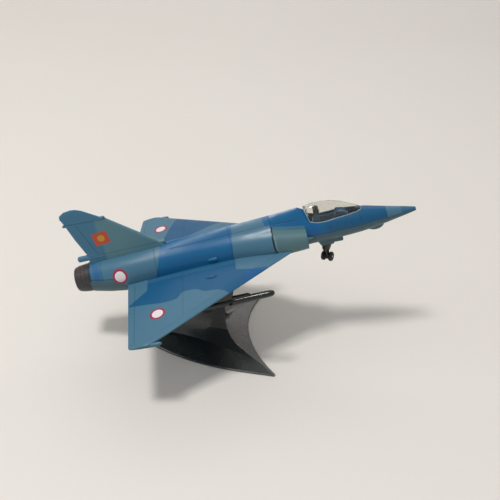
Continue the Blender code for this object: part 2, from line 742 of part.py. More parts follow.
def make_exhaust(looks, frame):
    bm = bmesh.new()
    rear, front = NOZZLE_REAR_X, NOZZLE_FRONT_X
    outer, inner = NOZZLE_FRONT_RADIUS, NOZZLE_REAR_RADIUS
    profile = (
        (rear, inner - 0.25),
        (rear + 0.15, inner),
        (rear + 1.6, (outer + 2 * inner) / 3 + 0.2),
        (front - 1.2, outer),
        (front - GAP, outer),
        (front - GAP, SPIGOT_RADIUS),
        (SPIGOT_FRONT_X, SPIGOT_RADIUS),
        (SPIGOT_FRONT_X, SPIGOT_RADIUS - NOZZLE_WALL),
        (front - 1.5, SPIGOT_RADIUS - NOZZLE_WALL),
        (rear + 1.5, inner - NOZZLE_WALL),
        (rear, inner - NOZZLE_WALL),
    )
    turned_ring(bm, profile, (0.0, 0.0, NOZZLE_Z), points=30)
    add_object("exhaust_nozzle", bm, looks["nozzle_plastic"], frame)
    bm = bmesh.new()
    disc = SPIGOT_RADIUS - NOZZLE_WALL - 0.05
    profile = (
        (-57.6, 0.35),
        (-56.0, 0.9),
        (-54.6, 1.4),
        (-54.4, disc - 0.6),
        (-55.2, disc - 0.35),
        (-55.2, disc),
        (-53.6, disc),
    )
    turned(bm, profile, (0.0, 0.0, NOZZLE_Z), points=20)
    add_object("exhaust_core", bm, looks["core_plastic"], frame)


# ---------------------------------------------------------------- cockpit


def make_cockpit(looks, frame):
    bm = bmesh.new()
    canopy_body(bm)
    canopy = add_object("canopy", bm, looks["canopy_clear"], frame, smooth=60.0)
    bm = bmesh.new()
    canopy_body(bm, grow=-CANOPY_WALL, foot=CANOPY_FOOT_Z - 1.0)
    boolean(canopy, add_cutter("canopy_inside", bm, frame))
    boolean(canopy, hump_trim(frame))

    bm = bmesh.new()
    box(bm, (TUB_REAR_X, -TUB_HALF_WIDTH, TUB_FLOOR_Z), (TUB_FRONT_X, TUB_HALF_WIDTH, TUB_TOP_Z))
    tub = add_object("cockpit_tub", bm, looks["tub_plastic"], frame)
    bm = bmesh.new()
    inside = TUB_HALF_WIDTH - TUB_WALL
    box(
        bm,
        (TUB_REAR_X + TUB_WALL, -inside, TUB_FLOOR_Z + TUB_WALL),
        (TUB_FRONT_X - TUB_WALL, inside, TUB_TOP_Z + 1.0),
    )
    boolean(tub, add_cutter("tub_inside", bm, frame))

    bm = bmesh.new()
    outline = (
        (35.9, 2.6),
        (36.3, 5.3),
        (37.0, 6.0),
        (39.4, 5.5),
        (40.4, 4.6),
        (40.4, 2.6),
    )
    prism(bm, outline, inside - 0.1)
    add_object("instrument_panel", bm, looks["panel_plastic"], frame)

    bm = bmesh.new()
    outline = (
        (29.0, 0.1),
        (33.4, 0.1),
        (33.6, 1.5),
        (31.0, 1.7),
        (30.2, 6.7),
        (30.9, 7.2),
        (30.8, 8.4),
        (29.8, 8.9),
        (28.8, 8.5),
        (28.9, 2.0),
    )
    prism(bm, outline, 1.35)
    add_object("pilot_seat", bm, looks["seat_plastic"], frame)


def hump_trim(frame):
    """The fuselage a gap larger, cut back to the spine's front end under the hood."""
    bm = bmesh.new()
    rows = rows_between(FRONT_STATIONS, 47.0, 14.0, 16)
    loft(bm, [section(row, GAP, RING_POINTS) for row in rows])
    return add_cutter("hood_trim", bm, frame)


# ---------------------------------------------------------------- undercarriage


def wheel_profile(radius, width, bore):
    half = width / 2.0
    return (
        (-half, bore),
        (-half, radius * 0.55),
        (-half * 0.7, radius * 0.6),
        (-half, radius * 0.72),
        (-half * 0.75, radius * 0.95),
        (0.0, radius),
        (half * 0.75, radius * 0.95),
        (half, radius * 0.72),
        (half * 0.7, radius * 0.6),
        (half, radius * 0.55),
        (half, bore),
    )


def make_wheel(name, radius, width, offset, looks, hub):
    """A wheel on the Y axis of its hub empty, its middle at a distance out along the axle."""
    bm = bmesh.new()
    profile = wheel_profile(radius, width, AXLE_RADIUS + AXLE_FIT)
    turned_ring(bm, profile, (0.0, offset, 0.0), "Y", 18)
    add_object(name, bm, looks["tyre_rubber"], hub)


def make_axle(name, low, high, looks, hub):
    bm = bmesh.new()
    turned(bm, ((low, AXLE_RADIUS), (high, AXLE_RADIUS)), (0.0, 0.0, 0.0), "Y", 18)
    add_object(name, bm, looks["axle_steel"], hub)


def add_empty(name, place, parent, turn=0.0):
    empty = bpy.data.objects.new(name, None)
    bpy.context.scene.collection.objects.link(empty)
    empty.parent = parent
    empty.location = Vector(place) * MM
    empty.rotation_euler = Euler((0.0, 0.0, turn))
    return empty


def make_nose_gear(looks, frame, cutters):
    bm = bmesh.new()
    prism(bm, FAIRING_OUTLINE, FAIRING_HALF_WIDTH)
    fairing = add_object("nose_gear_fairing", bm, looks["fairing_plastic"], frame)
    boolean(fairing, cutters["body"])
    bm = bmesh.new()
    bore = NOSE_PIN_RADIUS + NOSE_PIN_FIT
    turned(bm, ((-9.0, bore), (-3.0, bore)), (NOSE_LEG_X, 0.0, 0.0), "Z", 16)
    boolean(fairing, add_cutter("fairing_bore", bm, frame))

    # The leg turns with the wheels, so its frame has the steering axis as its Z axis.
    steering = add_empty("nose_steering", (NOSE_LEG_X, 0.0, 0.0), frame, NOSE_TURN)
    bm = bmesh.new()
    shoulder_z = NOSE_LEG_RINGS[0][0]
    profile = ((shoulder_z - 0.5, NOSE_PIN_RADIUS), (NOSE_PIN_TOP_Z, NOSE_PIN_RADIUS))
    turned(bm, profile, (0.0, 0.0, 0.0), "Z", 16)
    leg = add_object("nose_gear_leg", bm, looks["gear_plastic"], steering)
    bm = bmesh.new()
    rings = []
    for z, half_x, half_y, shift in NOSE_LEG_RINGS:
        lean = (z - shoulder_z) * NOSE_LEG_LEAN
        rings.append([(lean + u * half_x, shift + v * half_y, z) for u, v in circle(1.0, 16)])
    loft(bm, rings)
    boolean(leg, add_cutter("nose_leg_foot", bm, steering), "UNION")
    axle_x = (NOSE_AXLE_Z - shoulder_z) * NOSE_LEG_LEAN
    hub = add_empty("nose_axle_line", (axle_x, 0.0, NOSE_AXLE_Z), steering)
    bm = bmesh.new()
    hole = AXLE_RADIUS + AXLE_FIT
    turned(bm, ((-3.0, hole), (3.0, hole)), (0.0, 0.0, 0.0), "Y", 18)
    boolean(leg, add_cutter("nose_axle_hole", bm, hub))
    half = NOSE_TRACK / 2.0 + NOSE_WHEEL_WIDTH / 2.0 + 0.1
    make_axle("nose_axle", -half, half, looks, hub)
    for name, side in (("left_nose_wheel", 1), ("right_nose_wheel", -1)):
        offset = side * NOSE_TRACK / 2.0
        make_wheel(name, NOSE_WHEEL_RADIUS, NOSE_WHEEL_WIDTH, offset, looks, hub)


def make_main_gear(side_name, side, looks, frame, cutters):
    name = f"{side_name}_main"
    hub = add_empty(f"{name}_axle_line", (MAIN_LEG_X, side * MAIN_LEG_Y, MAIN_AXLE_Z), frame)
    bm = bmesh.new()
    top = -2.0 - MAIN_AXLE_Z
    inboard = -side * 1.75
    rings = []
    for z, half_x, half_y in ((top, 1.9, 0.8), (top - 2.2, 1.5, 0.7), (top - 4.5, 0.8, 0.6),
                              (0.9, 0.75, 0.6), (-0.9, 0.7, 0.6)):
        rings.append([(u * half_x, inboard + v * half_y, z) for u, v in circle(1.0, 14)])
    loft(bm, rings)
    leg = add_object(f"{name}_gear_leg", bm, looks["gear_plastic"], hub)
    bm = bmesh.new()
    hole = AXLE_RADIUS + AXLE_FIT
    turned(bm, ((-3.5, hole), (3.5, hole)), (0.0, 0.0, 0.0), "Y", 18)
    boolean(leg, add_cutter(f"{name}_axle_hole", bm, hub))
    boolean(leg, cutters["wing"])
    ends = sorted((inboard - side * 0.7, side * (MAIN_WHEEL_WIDTH / 2.0 + 0.15)))
    make_axle(f"{name}_axle", *ends, looks, hub)
    make_wheel(f"{name}_wheel", MAIN_WHEEL_RADIUS, MAIN_WHEEL_WIDTH, 0.0, looks, hub)


# ---------------------------------------------------------------- stores and screws


def make_store(side_name, side, looks, frame, cutters):
    y = side * STORE_Y
    bm = bmesh.new()
    rail_z = MISSILE_Z + MISSILE_RADIUS + RAIL_GAP
    rail_top = rail_z + RAIL_HEIGHT
    outline = (
        (-19.5, -2.9),
        (-3.5, -2.9),
        (-4.8, rail_top + 0.2),
        (-3.6, rail_top),
        (0.5, rail_top),
        (1.4, rail_z + 0.1),
        (1.4, rail_z),
        (-22.5, rail_z),
        (-22.5, rail_top),
        (-20.5, rail_top),
    )
    sides = (y - RAIL_HALF_WIDTH, y + RAIL_HALF_WIDTH)
    loft(bm, [[(x, side_y, z) for x, z in outline] for side_y in sides])
    pylon = add_object(f"{side_name}_pylon", bm, looks["pylon_plastic"], frame)
    boolean(pylon, cutters["wing"])

    bm = bmesh.new()
    profile = [(-back, share * MISSILE_RADIUS) for back, share in MISSILE_PROFILE]
    turned(bm, profile, (MISSILE_NOSE_X, y, MISSILE_Z), points=16)
    missile = add_object(f"{side_name}_missile", bm, looks["missile_plastic"], frame)
    for front, rear, reach, angles in MISSILE_VANES:
        for angle in angles:
            turn = Matrix.Rotation(math.radians(angle), 4, "X")
            place = Matrix.Translation((MISSILE_NOSE_X, y, MISSILE_Z)) @ turn
            outline = ((-front, 0.4), (-rear, reach), (-rear - 0.3, reach),
                       (-rear - 0.3, -reach), (-rear, -reach), (-front, -0.4))
            vane = bmesh.new()
            prism(vane, outline, VANE_HALF_THICK, plane="XY")
            bmesh.ops.transform(vane, matrix=place, verts=vane.verts)
            part = add_cutter(f"{side_name}_vane_{int(rear)}_{int(angle)}", vane, frame)
            boolean(missile, part, "UNION")


def make_screw(name, x, looks, frame):
    _, roof, belly = heights_at(x)
    bm = bmesh.new()
    r = SCREW_HEAD_RADIUS
    profile = (
        (belly + 0.45, r * 0.75),
        (belly + 0.75, r),
        (belly + 1.45, r),
        (belly + 1.45, SCREW_SHANK_RADIUS),
        (roof - 2.6, SCREW_SHANK_RADIUS),
        (roof - 2.2, SCREW_SHANK_RADIUS * 0.4),
    )
    turned(bm, profile, (x, 0.0, 0.0), "Z", 20)
    screw = add_object(name, bm, looks["screw_steel"], frame)
    for key, half_x, half_y in (("slot", 1.0, 0.18), ("cross", 0.18, 1.0)):
        bm = bmesh.new()
        box(bm, (x - half_x, -half_y, belly), (x + half_x, half_y, belly + 0.95))
        boolean(screw, add_cutter(f"{name}_{key}", bm, frame))


# ---------------------------------------------------------------- stand


def bowed_edge(start, end, bow, count, powers=(1.0, 1.0)):
    """Points from start to end on a line that bows out to its right, its ends left blunt."""
    run_x, run_y = end[0] - start[0], end[1] - start[1]
    length = math.hypot(run_x, run_y)
    rise, fall = powers
    top = rise / (rise + fall)
    peak = top**rise * (1.0 - top) ** fall
    blunt = 0.018
    points = []
    for i in range(count + 1):
        u = blunt + (1.0 - 2.0 * blunt) * i / count
        out = bow * u**rise * (1.0 - u) ** fall / peak / length
        points.append((start[0] + run_x * u + run_y * out, start[1] + run_y * u - run_x * out))
    return points


def stand_outline(corner_x, corner_y, front_x, tip_x, bow):
    """An arrowhead seen from above: a hollow front edge and two sides that meet in a tail."""
    left, right, tail = (corner_x, corner_y), (corner_x, -corner_y), (tip_x, 0.0)
    hollow = front_x - corner_x
    front = bowed_edge(right, left, hollow, 12)
    port = bowed_edge(left, tail, bow, 10, SIDE_BOW)
    starboard = [(x, -y) for x, y in reversed(port)]
    ring = front + port + starboard
    return [(x, y * PORT_SHARE if y > 0.0 else y) for x, y in ring]


def in_world(point):
    """A point of the level airframe, in millimetres, where it stands on the stand."""
    turned_point = Matrix.Rotation(-PITCH, 3, "Y") @ Vector(point)
    return turned_point + Vector((DATUM_FORWARD, 0.0, DATUM_HEIGHT))


def make_stand(looks):
    bm = bmesh.new()
    rings = []
    for z, *shape in STAND_LEVELS:
        rings.append([(x + STAND_FORWARD, y, z) for x, y in stand_outline(*shape)])
    pad = [(x + PEG_X, y, ARM_TOP_Z) for x, y in stand_outline(*ARM_PAD)]
    rings.append([in_world(point) for point in pad])
    loft(bm, rings)
    stand = add_object("stand_base", bm, looks["stand_plastic"])

    bm = bmesh.new()
    foot, end = ARM_TOP_Z - 2.0, ARM_TOP_Z + PEG_LENGTH
    profile = ((foot, PEG_RADIUS), (end - 0.6, PEG_RADIUS), (end, PEG_RADIUS - 0.5))
    turned(bm, profile, (PEG_X, 0.0, 0.0), "Z", 24)
    for vertex in bm.verts:
        vertex.co = in_world(vertex.co)
    boolean(stand, add_cutter("stand_peg", bm), "UNION")

    bm = bmesh.new()
    recess = [(x + STAND_FORWARD, y) for x, y in stand_outline(*STAND_RECESS)]
    prism(bm, recess, STAND_RECESS_DEPTH, plane="XY")
    boolean(stand, add_cutter("stand_recess", bm))


def main():
    clear_scene()
    looks = {name: make_material(name) for name in LOOKS}
    frame = bpy.data.objects.new("airframe_datum", None)
    bpy.context.scene.collection.objects.link(frame)
    frame.location = (DATUM_FORWARD * MM, 0.0, DATUM_HEIGHT * MM)
    frame.rotation_euler = Euler((0.0, -PITCH, 0.0))

    cutters = shared_cutters(frame)
    make_upper_fuselage(looks, frame, cutters)
    make_lower_fuselage(looks, frame, cutters)
    make_wing(looks, frame)
    make_fin(looks, frame, cutters)
    make_exhaust(looks, frame)
    make_cockpit(looks, frame)
    make_nose_gear(looks, frame, cutters)
    for side_name, side in (("left", 1), ("right", -1)):
        make_intake(side_name, side, looks, frame, cutters)
        make_main_gear(side_name, side, looks, frame, cutters)
        make_store(side_name, side, looks, frame, cutters)
    for name, x in SCREW_PLACES.items():
        make_screw(name, x, looks, frame)
    make_stand(looks)


main()
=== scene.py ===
"""The looks of the toy jet fighter: paint, plastic, clear hood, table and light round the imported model."""

import json
import math

import bmesh
import bpy
from mathutils import Matrix, Vector

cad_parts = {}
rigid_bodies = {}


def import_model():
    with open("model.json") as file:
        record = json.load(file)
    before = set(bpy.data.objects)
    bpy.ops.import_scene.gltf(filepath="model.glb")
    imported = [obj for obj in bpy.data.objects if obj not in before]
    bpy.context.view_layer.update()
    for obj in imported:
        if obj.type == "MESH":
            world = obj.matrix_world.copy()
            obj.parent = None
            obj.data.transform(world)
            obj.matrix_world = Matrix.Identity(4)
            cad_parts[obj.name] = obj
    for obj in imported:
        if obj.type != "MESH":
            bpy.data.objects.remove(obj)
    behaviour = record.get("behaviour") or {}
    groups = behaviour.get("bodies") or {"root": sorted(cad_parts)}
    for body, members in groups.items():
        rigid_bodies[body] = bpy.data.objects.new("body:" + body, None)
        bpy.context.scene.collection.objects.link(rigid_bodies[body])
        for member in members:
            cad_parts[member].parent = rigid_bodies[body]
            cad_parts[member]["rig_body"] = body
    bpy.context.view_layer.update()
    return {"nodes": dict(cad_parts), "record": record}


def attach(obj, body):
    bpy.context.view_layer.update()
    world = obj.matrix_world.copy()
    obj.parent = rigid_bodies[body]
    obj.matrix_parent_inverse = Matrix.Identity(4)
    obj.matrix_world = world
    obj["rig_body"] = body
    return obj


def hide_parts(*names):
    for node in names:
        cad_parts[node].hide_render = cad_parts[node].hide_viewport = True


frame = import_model()

# The level airframe's frame: how far it is pitched up, and where its origin stands, in metres
PITCH = math.radians(14.65)
DATUM = (-0.00046, 0.0, 0.0399)
MM = 0.001

# Colours, linear
DARK_BLUE = (0.008, 0.092, 0.210)
# A brighter copy of the dark blue, painted light for the fuselage top lit from above
LIT_FUSELAGE_BLUE = (0.007, 0.116, 0.275)
DEEP_BLUE = (0.008, 0.098, 0.280)
LIGHT_BLUE = (0.062, 0.168, 0.252)
GREY_TEAL = (0.088, 0.178, 0.200)
FIN_TEAL = (0.098, 0.222, 0.270)
FIN_SLATE = (0.048, 0.172, 0.280)
LOWER_TEAL = (0.056, 0.122, 0.148)
COCKPIT_BLUE = (0.026, 0.135, 0.270)
HEADREST_BROWN = (0.022, 0.020, 0.017)
# Pale of the bead round the hood's foot, partly a painted highlight of light caught in the clear edge
RIM_HIGHLIGHT_PALE = (0.30, 0.40, 0.46)
GEAR_BLACK = (0.010, 0.011, 0.011)
MISSILE_BLACK = (0.009, 0.011, 0.009)
STAND_BLACK = (0.015, 0.018, 0.019)
# Paler black painted on the stand's low front corners as a painted sheen
STAND_SHEEN = (0.085, 0.088, 0.078)
TYRE_BLACK = (0.012, 0.012, 0.012)
SOOT = (0.016, 0.013, 0.012)
NOZZLE_GREY = (0.046, 0.044, 0.042)
NOZZLE_BROWN = (0.062, 0.044, 0.041)
AXLE_STEEL = (0.42, 0.42, 0.42)
SCREW_STEEL = (0.36, 0.36, 0.37)
WHITE = (0.74, 0.68, 0.70)
RED = (0.30, 0.032, 0.075)
ORANGE = (0.50, 0.075, 0.028)
AMBER = (0.56, 0.27, 0.040)
# Dark of the panel seams, also used as painted shade in the gaps
SEAM_DARK_AND_GAP_SHADE = (0.006, 0.018, 0.032)
TABLE_TONES = ((0.730, 0.690, 0.645), (0.775, 0.745, 0.700))
TABLE_SPECK = (0.60, 0.56, 0.52)

# Surface habits shared by the materials: shares, factors and the hood's glass
NOISE_SPREAD = (0.3, 0.7)
SLOW_TONE = 1.2
QUICK_TONE = 0.25
GRAIN_SHADE = (0.45, 0.5, 0.55)
PAINT_GRAIN = 0.16
PAINT_SHINE = 0.3
PANEL_LINE_SHARE = 0.45
DEEP_SHARE = 0.7
HOOD_CLEARNESS = 0.985
HOOD_IOR = 1.30

# Rubbed edges: bevel radius in metres, how sharp an edge must be, where the patches lie, and their colour
PAINT_CHIPS = {
    "radius": 0.00018, "limits": (0.03, 0.22), "patch": (0.56, 0.1), "scale": 700.0,
    "share": 0.3, "colour": (0.16, 0.24, 0.30),
}
FIN_CHIPS = {
    "radius": 0.00016, "limits": (0.03, 0.22), "patch": (0.57, 0.1), "scale": 800.0,
    "share": 0.45, "colour": (0.22, 0.27, 0.29),
}
SHELL_CHIPS = {
    "radius": 0.00014, "limits": (0.03, 0.22), "patch": (0.55, 0.1), "scale": 850.0,
    "share": 0.4, "colour": (0.24, 0.30, 0.31),
}
BLACK_RUB = {
    "radius": 0.0002, "limits": (0.04, 0.3), "patch": (0.5, 0.12), "scale": 600.0,
    "colour": (0.06, 0.062, 0.06),
}
TYRE_DUST = {
    "radius": 0.00025, "limits": (0.03, 0.3), "patch": (0.48, 0.15), "scale": 900.0,
    "share": 0.5, "colour": (0.05, 0.048, 0.045),
}

# From here on, places are in the level airframe and in millimetres: x forward, y to port, z up.
# A slanted edge is (amount, offset): value = offset + amount * other, as Look.slope takes it.

# Upper fuselage
TAIL_PATCH_EDGE = (0.40, -30.2)
MID_PATCH_BACK = (0.16, -2.1)
MID_PATCH_FRONT = (-0.45, 14.6)
MID_STRIP_TOP = (-0.17, 8.75)
MID_STRIP_FRONT = 24.6
NOSE_BAND = (54.3, 59.9)
LIT_BLUE_FRONT = 31.0
LIT_BLUE_FADE = 6.0
INTAKE_DEEP_LENGTH = (25.4, 30.0)
INTAKE_DEEP_HEIGHT = (-0.2, 4.4)
TAIL_DEEP_LENGTH = (-53.2, -49.8)
TAIL_DEEP_HEIGHT = (1.0, 6.3)
UPPER_SEAMS = (-49.5, -29.6, -2.0, 12.9, 44.6, 54.1, 60.0)
SPINE_HALF_WIDTH = 2.55
SPINE_LENGTH = (-24.0, 22.0)
SPINE_FOOT = 5.0
HATCH_POSTS = (33.6, 36.4, 39.2, 41.2)
HATCH_HEIGHTS = (0.6, 3.0)
TAIL_GAP = -53.7
SHELL_SEAM = (-0.105, -3.1)
SHELL_SEAM_FRONT = -42.6
INTAKE_GAP = 12.95
INTAKE_GAP_TOP = 6.4
INTAKE_BEND_TOP = 1.5
INTAKE_BEND = 0.11
# The intake's rim just ahead of its gap gets a painted highlight, and the gap itself painted shade
INTAKE_RIM_HIGHLIGHT = (0.35, 0.85)
INTAKE_RIM_HIGHLIGHT_TOP = 4.6

# Lower pieces
LOWER_SEAMS = (-42.4, 12.9, 27.5, 44.6, 54.1)
FAIRING_SEAMS = (32.6,)

# Wing
STARBOARD_WAVE = (
    (0.0, 0.36), (0.2, 0.44), (0.36, 0.52), (0.44, 0.50), (0.51, 0.28),
    (0.60, 0.28), (0.69, 0.43), (0.78, 0.45), (0.9, 0.70), (1.0, 0.95),
)
STARBOARD_WAVE_LENGTH = (-42.0, 0.0)
STARBOARD_WAVE_REACH = (15.0, 28.0)
ROOT_OUT = 13.2
ROOT_PATCH_EDGE = (-1.05, -34.0)
ROOT_PATCH_END = 20.0
FRONT_PATCH_BACK = -1.8
FRONT_PATCH_EDGE = (0.25, 13.2)
PORT_TIP_EDGE = (0.36, -36.6)
PORT_ROOT_EDGE = (2.0, -53.0)
PORT_ROOT_END = 24.0
DEEP_PANEL_LENGTH = (1.0, 9.0)
DEEP_PANEL_IN = 14.0
HINGE_LINE = (0.045, -39.1)
ELEVON_ENDS = (8.6, 23.5, 39.0)
ELEVON_FRONT = -38.0
SLAT_LINE = (-1.6, 27.9)
SLAT_ENDS = (9.5, 38.6)
ACROSS_LINE = -21.0
ACROSS_ENDS = (8.0, 30.6)
# Where the wing's root gets its painted highlight
ROOT_HIGHLIGHT_WIDTH = (7.4, 9.2)
ROOT_HIGHLIGHT_LENGTH = (-40.0, 8.0)
LINE_HALF = 0.12
LINE_SOFT = 0.1

# Fin
FIN_SLATE_FRONT = -46.3
FIN_CAP_EDGE = (-0.06, 20.6)
PATCH_CENTRE_X = (-0.09, -44.7)
PATCH_CENTRE_Z = (0.10, 20.5)
PATCH_HALF_LENGTH = 2.75
PATCH_HALF_HEIGHT = 2.5
PATCH_DISC_RADIUS = 1.3
RUDDER_LINE = (-0.27, -46.6)
RUDDER_HEIGHT = (9.6, 22.6)
CREST_LINE = (-0.06, 20.3)
FOOT_LINE = 9.4
FOOT_LENGTH = (-52.0, -27.0)

# Nozzle
NOZZLE_AXIS_HEIGHT = 0.7
PETAL_COUNT = 24
PETAL_FRONT = -55.6
NOZZLE_RINGS = (-55.8, -57.4)
NOZZLE_WARM_FOOT = 3.4
NOZZLE_WARM_LENGTH = (-58.4, -55.8)
NOZZLE_SOOT_FRONT = -59.2

# Cockpit
HEADREST_FOOT = 6.4
DIALS_LENGTH = (36.0, 38.2)
DIALS_FOOT = 5.0

# The plain round marks on the fuselage sides and the wing tops
FUSELAGE_MARK = (-43.0, 2.2)
WING_MARKS = ((-29.8, -26.7), (-30.9, 28.4))
MARK_RADIUS = 2.75
MARK_FIELD_SHARE = 0.70
MARK_SOFT = 0.2

# Pieces
WELD_GAP = 2e-7
SLIVER = 1e-7
FLAT_ANGLE = math.radians(0.3)
RIM_RADIUS = 0.17
HOOD_CENTRE_HEIGHT = 4.0
# At the hood's sill, one face looks out at least this far and the other at most that far
HOOD_OUTWARD = 0.4
HOOD_INWARD = 0.3

# Stand, in metres: where its painted sheen starts and how softly, and how its shine falls with height
STAND_SHEEN_FRONT = (0.006, 0.036)
STAND_SHEEN_TOP = (0.012, 0.010)
STAND_SHINE_HEIGHT = (0.010, 0.021)
STAND_SHINE = (0.95, 0.12)

# Stage, in metres
TABLE_FRONT = -6.0
TABLE_BACK = 0.45
TABLE_HALF_WIDTH = 6.0
SWEEP_RADIUS = 0.35
SWEEP_STEPS = 12
BACKDROP_TOP = 1.6

# Lamps: name, place, size and power in watts, colour
LAMP_TARGET = (0.0, 0.0, 0.03)
LAMPS = (
    ("key_above", (-0.29, -0.18, 1.0), (0.16, 0.16), 5.8, (1.0, 0.985, 0.955)),
    ("long_softbox", (0.1, 0.75, 0.72), (1.6, 0.5), 2.6, (1.0, 1.0, 1.0)),
    ("left_fill", (-1.0, -0.1, 0.7), (0.8, 0.6), 2.0, (0.98, 0.99, 1.0)),
)
ROOM_COLOUR = (0.96, 0.97, 1.0, 1.0)
ROOM_STRENGTH = 0.42

# Camera: lens and sensor in millimetres, place in metres, and the frame it looks along before its roll
LENS = 47.78
SENSOR = 36.0
CAMERA_PLACE = (-0.01694, -0.20239, 0.16914)
CAMERA_FORWARD = Vector((0.08618, 0.83608, -0.54180))
CAMERA_LEVEL = Vector((0.99473, -0.10253, 0.0))
CAMERA_ABOVE = Vector((0.05555, 0.53895, 0.84051))
ROLL_COSINE = 0.99867
ROLL_SINE = 0.05164


# ---------------------------------------------------------------- material nodes


class Look:
    """A material with short calls for its nodes. Lengths on the airframe are in millimetres."""

    def __init__(self, name):
        self.material = bpy.data.materials.new(name)
        self.material.use_nodes = True
        self.tree = self.material.node_tree
        self.shader = self.tree.nodes["Principled BSDF"]
        self.coords = self.tree.nodes.new("ShaderNodeTexCoord").outputs["Object"]

    def node(self, kind, *inputs, **settings):
        made = self.tree.nodes.new(kind)
        for key, value in settings.items():
            setattr(made, key, value)
        for slot, value in enumerate(inputs):
            self.feed(made.inputs[slot], value)
        return made

    def feed(self, socket, value):
        if value is None:
            return
        if isinstance(value, bpy.types.NodeSocket):
            self.tree.links.new(value, socket)
        elif isinstance(value, (tuple, Vector)) and socket.type == "RGBA":
            socket.default_value = (*value, 1.0)
        else:
            socket.default_value = value

    def maths(self, operation, *inputs, clamp=False):
        return self.node("ShaderNodeMath", *inputs, operation=operation, use_clamp=clamp).outputs[0]

    def mix(self, share, first, second):
        made = self.node("ShaderNodeMix", data_type="RGBA")
        self.feed(made.inputs[0], share)
        self.feed(made.inputs[6], first)
        self.feed(made.inputs[7], second)
        return made.outputs[2]

    def noise(self, scale, detail=3.0, roughness=0.55, vector=None):
        made = self.node("ShaderNodeTexNoise")
        self.feed(made.inputs["Vector"], vector or self.coords)
        made.inputs["Scale"].default_value = scale
        made.inputs["Detail"].default_value = detail
        made.inputs["Roughness"].default_value = roughness
        return made.outputs[0]

    def stretch(self, low, high, value, to_low=0.0, to_high=1.0):
        """The value carried from low..high to to_low..to_high, and held at the ends."""
        return self.node("ShaderNodeMapRange", value, low, high, to_low, to_high).outputs[0]

    def soft_step(self, edge, width, value):
        """0 below the edge and 1 above it, with a soft change of that width between."""
        made = self.node(
            "ShaderNodeMapRange", value, edge - width / 2, edge + width / 2, 0.0, 1.0,
            interpolation_type="SMOOTHSTEP",
        )
        return made.outputs[0]

    def local(self):
        """x, y and z in the level airframe, in millimetres."""
        made = self.node("ShaderNodeMapping", self.coords, vector_type="TEXTURE")
        made.inputs["Location"].default_value = DATUM
        made.inputs["Rotation"].default_value = (0.0, -PITCH, 0.0)
        made.inputs["Scale"].default_value = (MM, MM, MM)
        return self.node("ShaderNodeSeparateXYZ", made.outputs[0]).outputs

    def both(self, *masks):
        """1 where all the masks are."""
        found = masks[0]
        for mask in masks[1:]:
            found = self.maths("MULTIPLY", found, mask)
        return found

    def either(self, *masks):
        """1 where any of the masks is."""
        found = masks[0]
        for mask in masks[1:]:
            found = self.maths("MAXIMUM", found, mask)
        return found

    def flip(self, mask):
        return self.maths("SUBTRACT", 1.0, mask)

    def between(self, low, high, width, value):
        """1 from low to high, with soft ends."""
        return self.both(self.soft_step(low, width, value), self.flip(self.soft_step(high, width, value)))

    def line_at(self, places, half, value):
        """1 on thin lines at those values."""
        found = []
        for place in places:
            away = self.maths("ABSOLUTE", self.maths("SUBTRACT", value, place))
            found.append(self.flip(self.soft_step(half, half, away)))
        return self.either(*found)

    def slope(self, value, other, amount, offset):
        """value less (offset + amount times other): negative on one side of a slanted line."""
        return self.maths("SUBTRACT", value, self.maths("MULTIPLY_ADD", other, amount, offset))

    def wear(self, radius, low, high):
        """1 on sharp edges, from how far a bevelled normal leaves the true one."""
        bevel = self.node("ShaderNodeBevel", samples=4)
        bevel.inputs["Radius"].default_value = radius
        true = self.node("ShaderNodeNewGeometry").outputs["Normal"]
        dot = self.node("ShaderNodeVectorMath", bevel.outputs[0], true, operation="DOT_PRODUCT")
        away = self.maths("SUBTRACT", 1.0, dot.outputs["Value"])
        return self.stretch(low, high, away)

    def bump(self, height, distance, strength):
        made = self.node("ShaderNodeBump")
        made.inputs["Strength"].default_value = strength
        made.inputs["Distance"].default_value = distance
        self.feed(made.inputs["Height"], height)
        return made.outputs[0]

    def below(self, edge, width, value):
        """1 below the edge and 0 above it."""
        return self.flip(self.soft_step(edge, width, value))

    def near(self, half, soft, value):
        """1 where the value is close to nothing."""
        return self.below(half, soft, self.maths("ABSOLUTE", value))

    def tint(self, base, mask, share, colour):
        """The base with up to that share of the colour over it, where the mask says."""
        return self.mix(self.maths("MULTIPLY", mask, share), base, colour)

    def wobble(self, scale, reach):
        """Slow drift either side of nothing, for edges that a hand painted."""
        return self.maths("MULTIPLY", self.maths("SUBTRACT", self.noise(scale, 1.0), 0.5), reach)

    def uneven(self, scale, detail, low, high):
        """A value that wanders between low and high over the surface."""
        return self.stretch(*NOISE_SPREAD, self.noise(scale, detail), low, high)

    def reach(self, u, v):
        square = self.maths("ADD", self.maths("MULTIPLY", u, u), self.maths("MULTIPLY", v, v))
        return self.maths("SQRT", square)

    def finish(self, colour, roughness, normal=None, metallic=0.0, coat=0.0, coat_rough=0.05, shine=0.5):
        self.feed(self.shader.inputs["Base Color"], colour)
        self.feed(self.shader.inputs["Roughness"], roughness)
        self.feed(self.shader.inputs["Metallic"], metallic)
        self.shader.inputs["Coat Weight"].default_value = coat
        self.shader.inputs["Coat Roughness"].default_value = coat_rough
        self.feed(self.shader.inputs["Specular IOR Level"], shine)
        if normal:
            self.feed(self.shader.inputs["Normal"], normal)
        return self.material


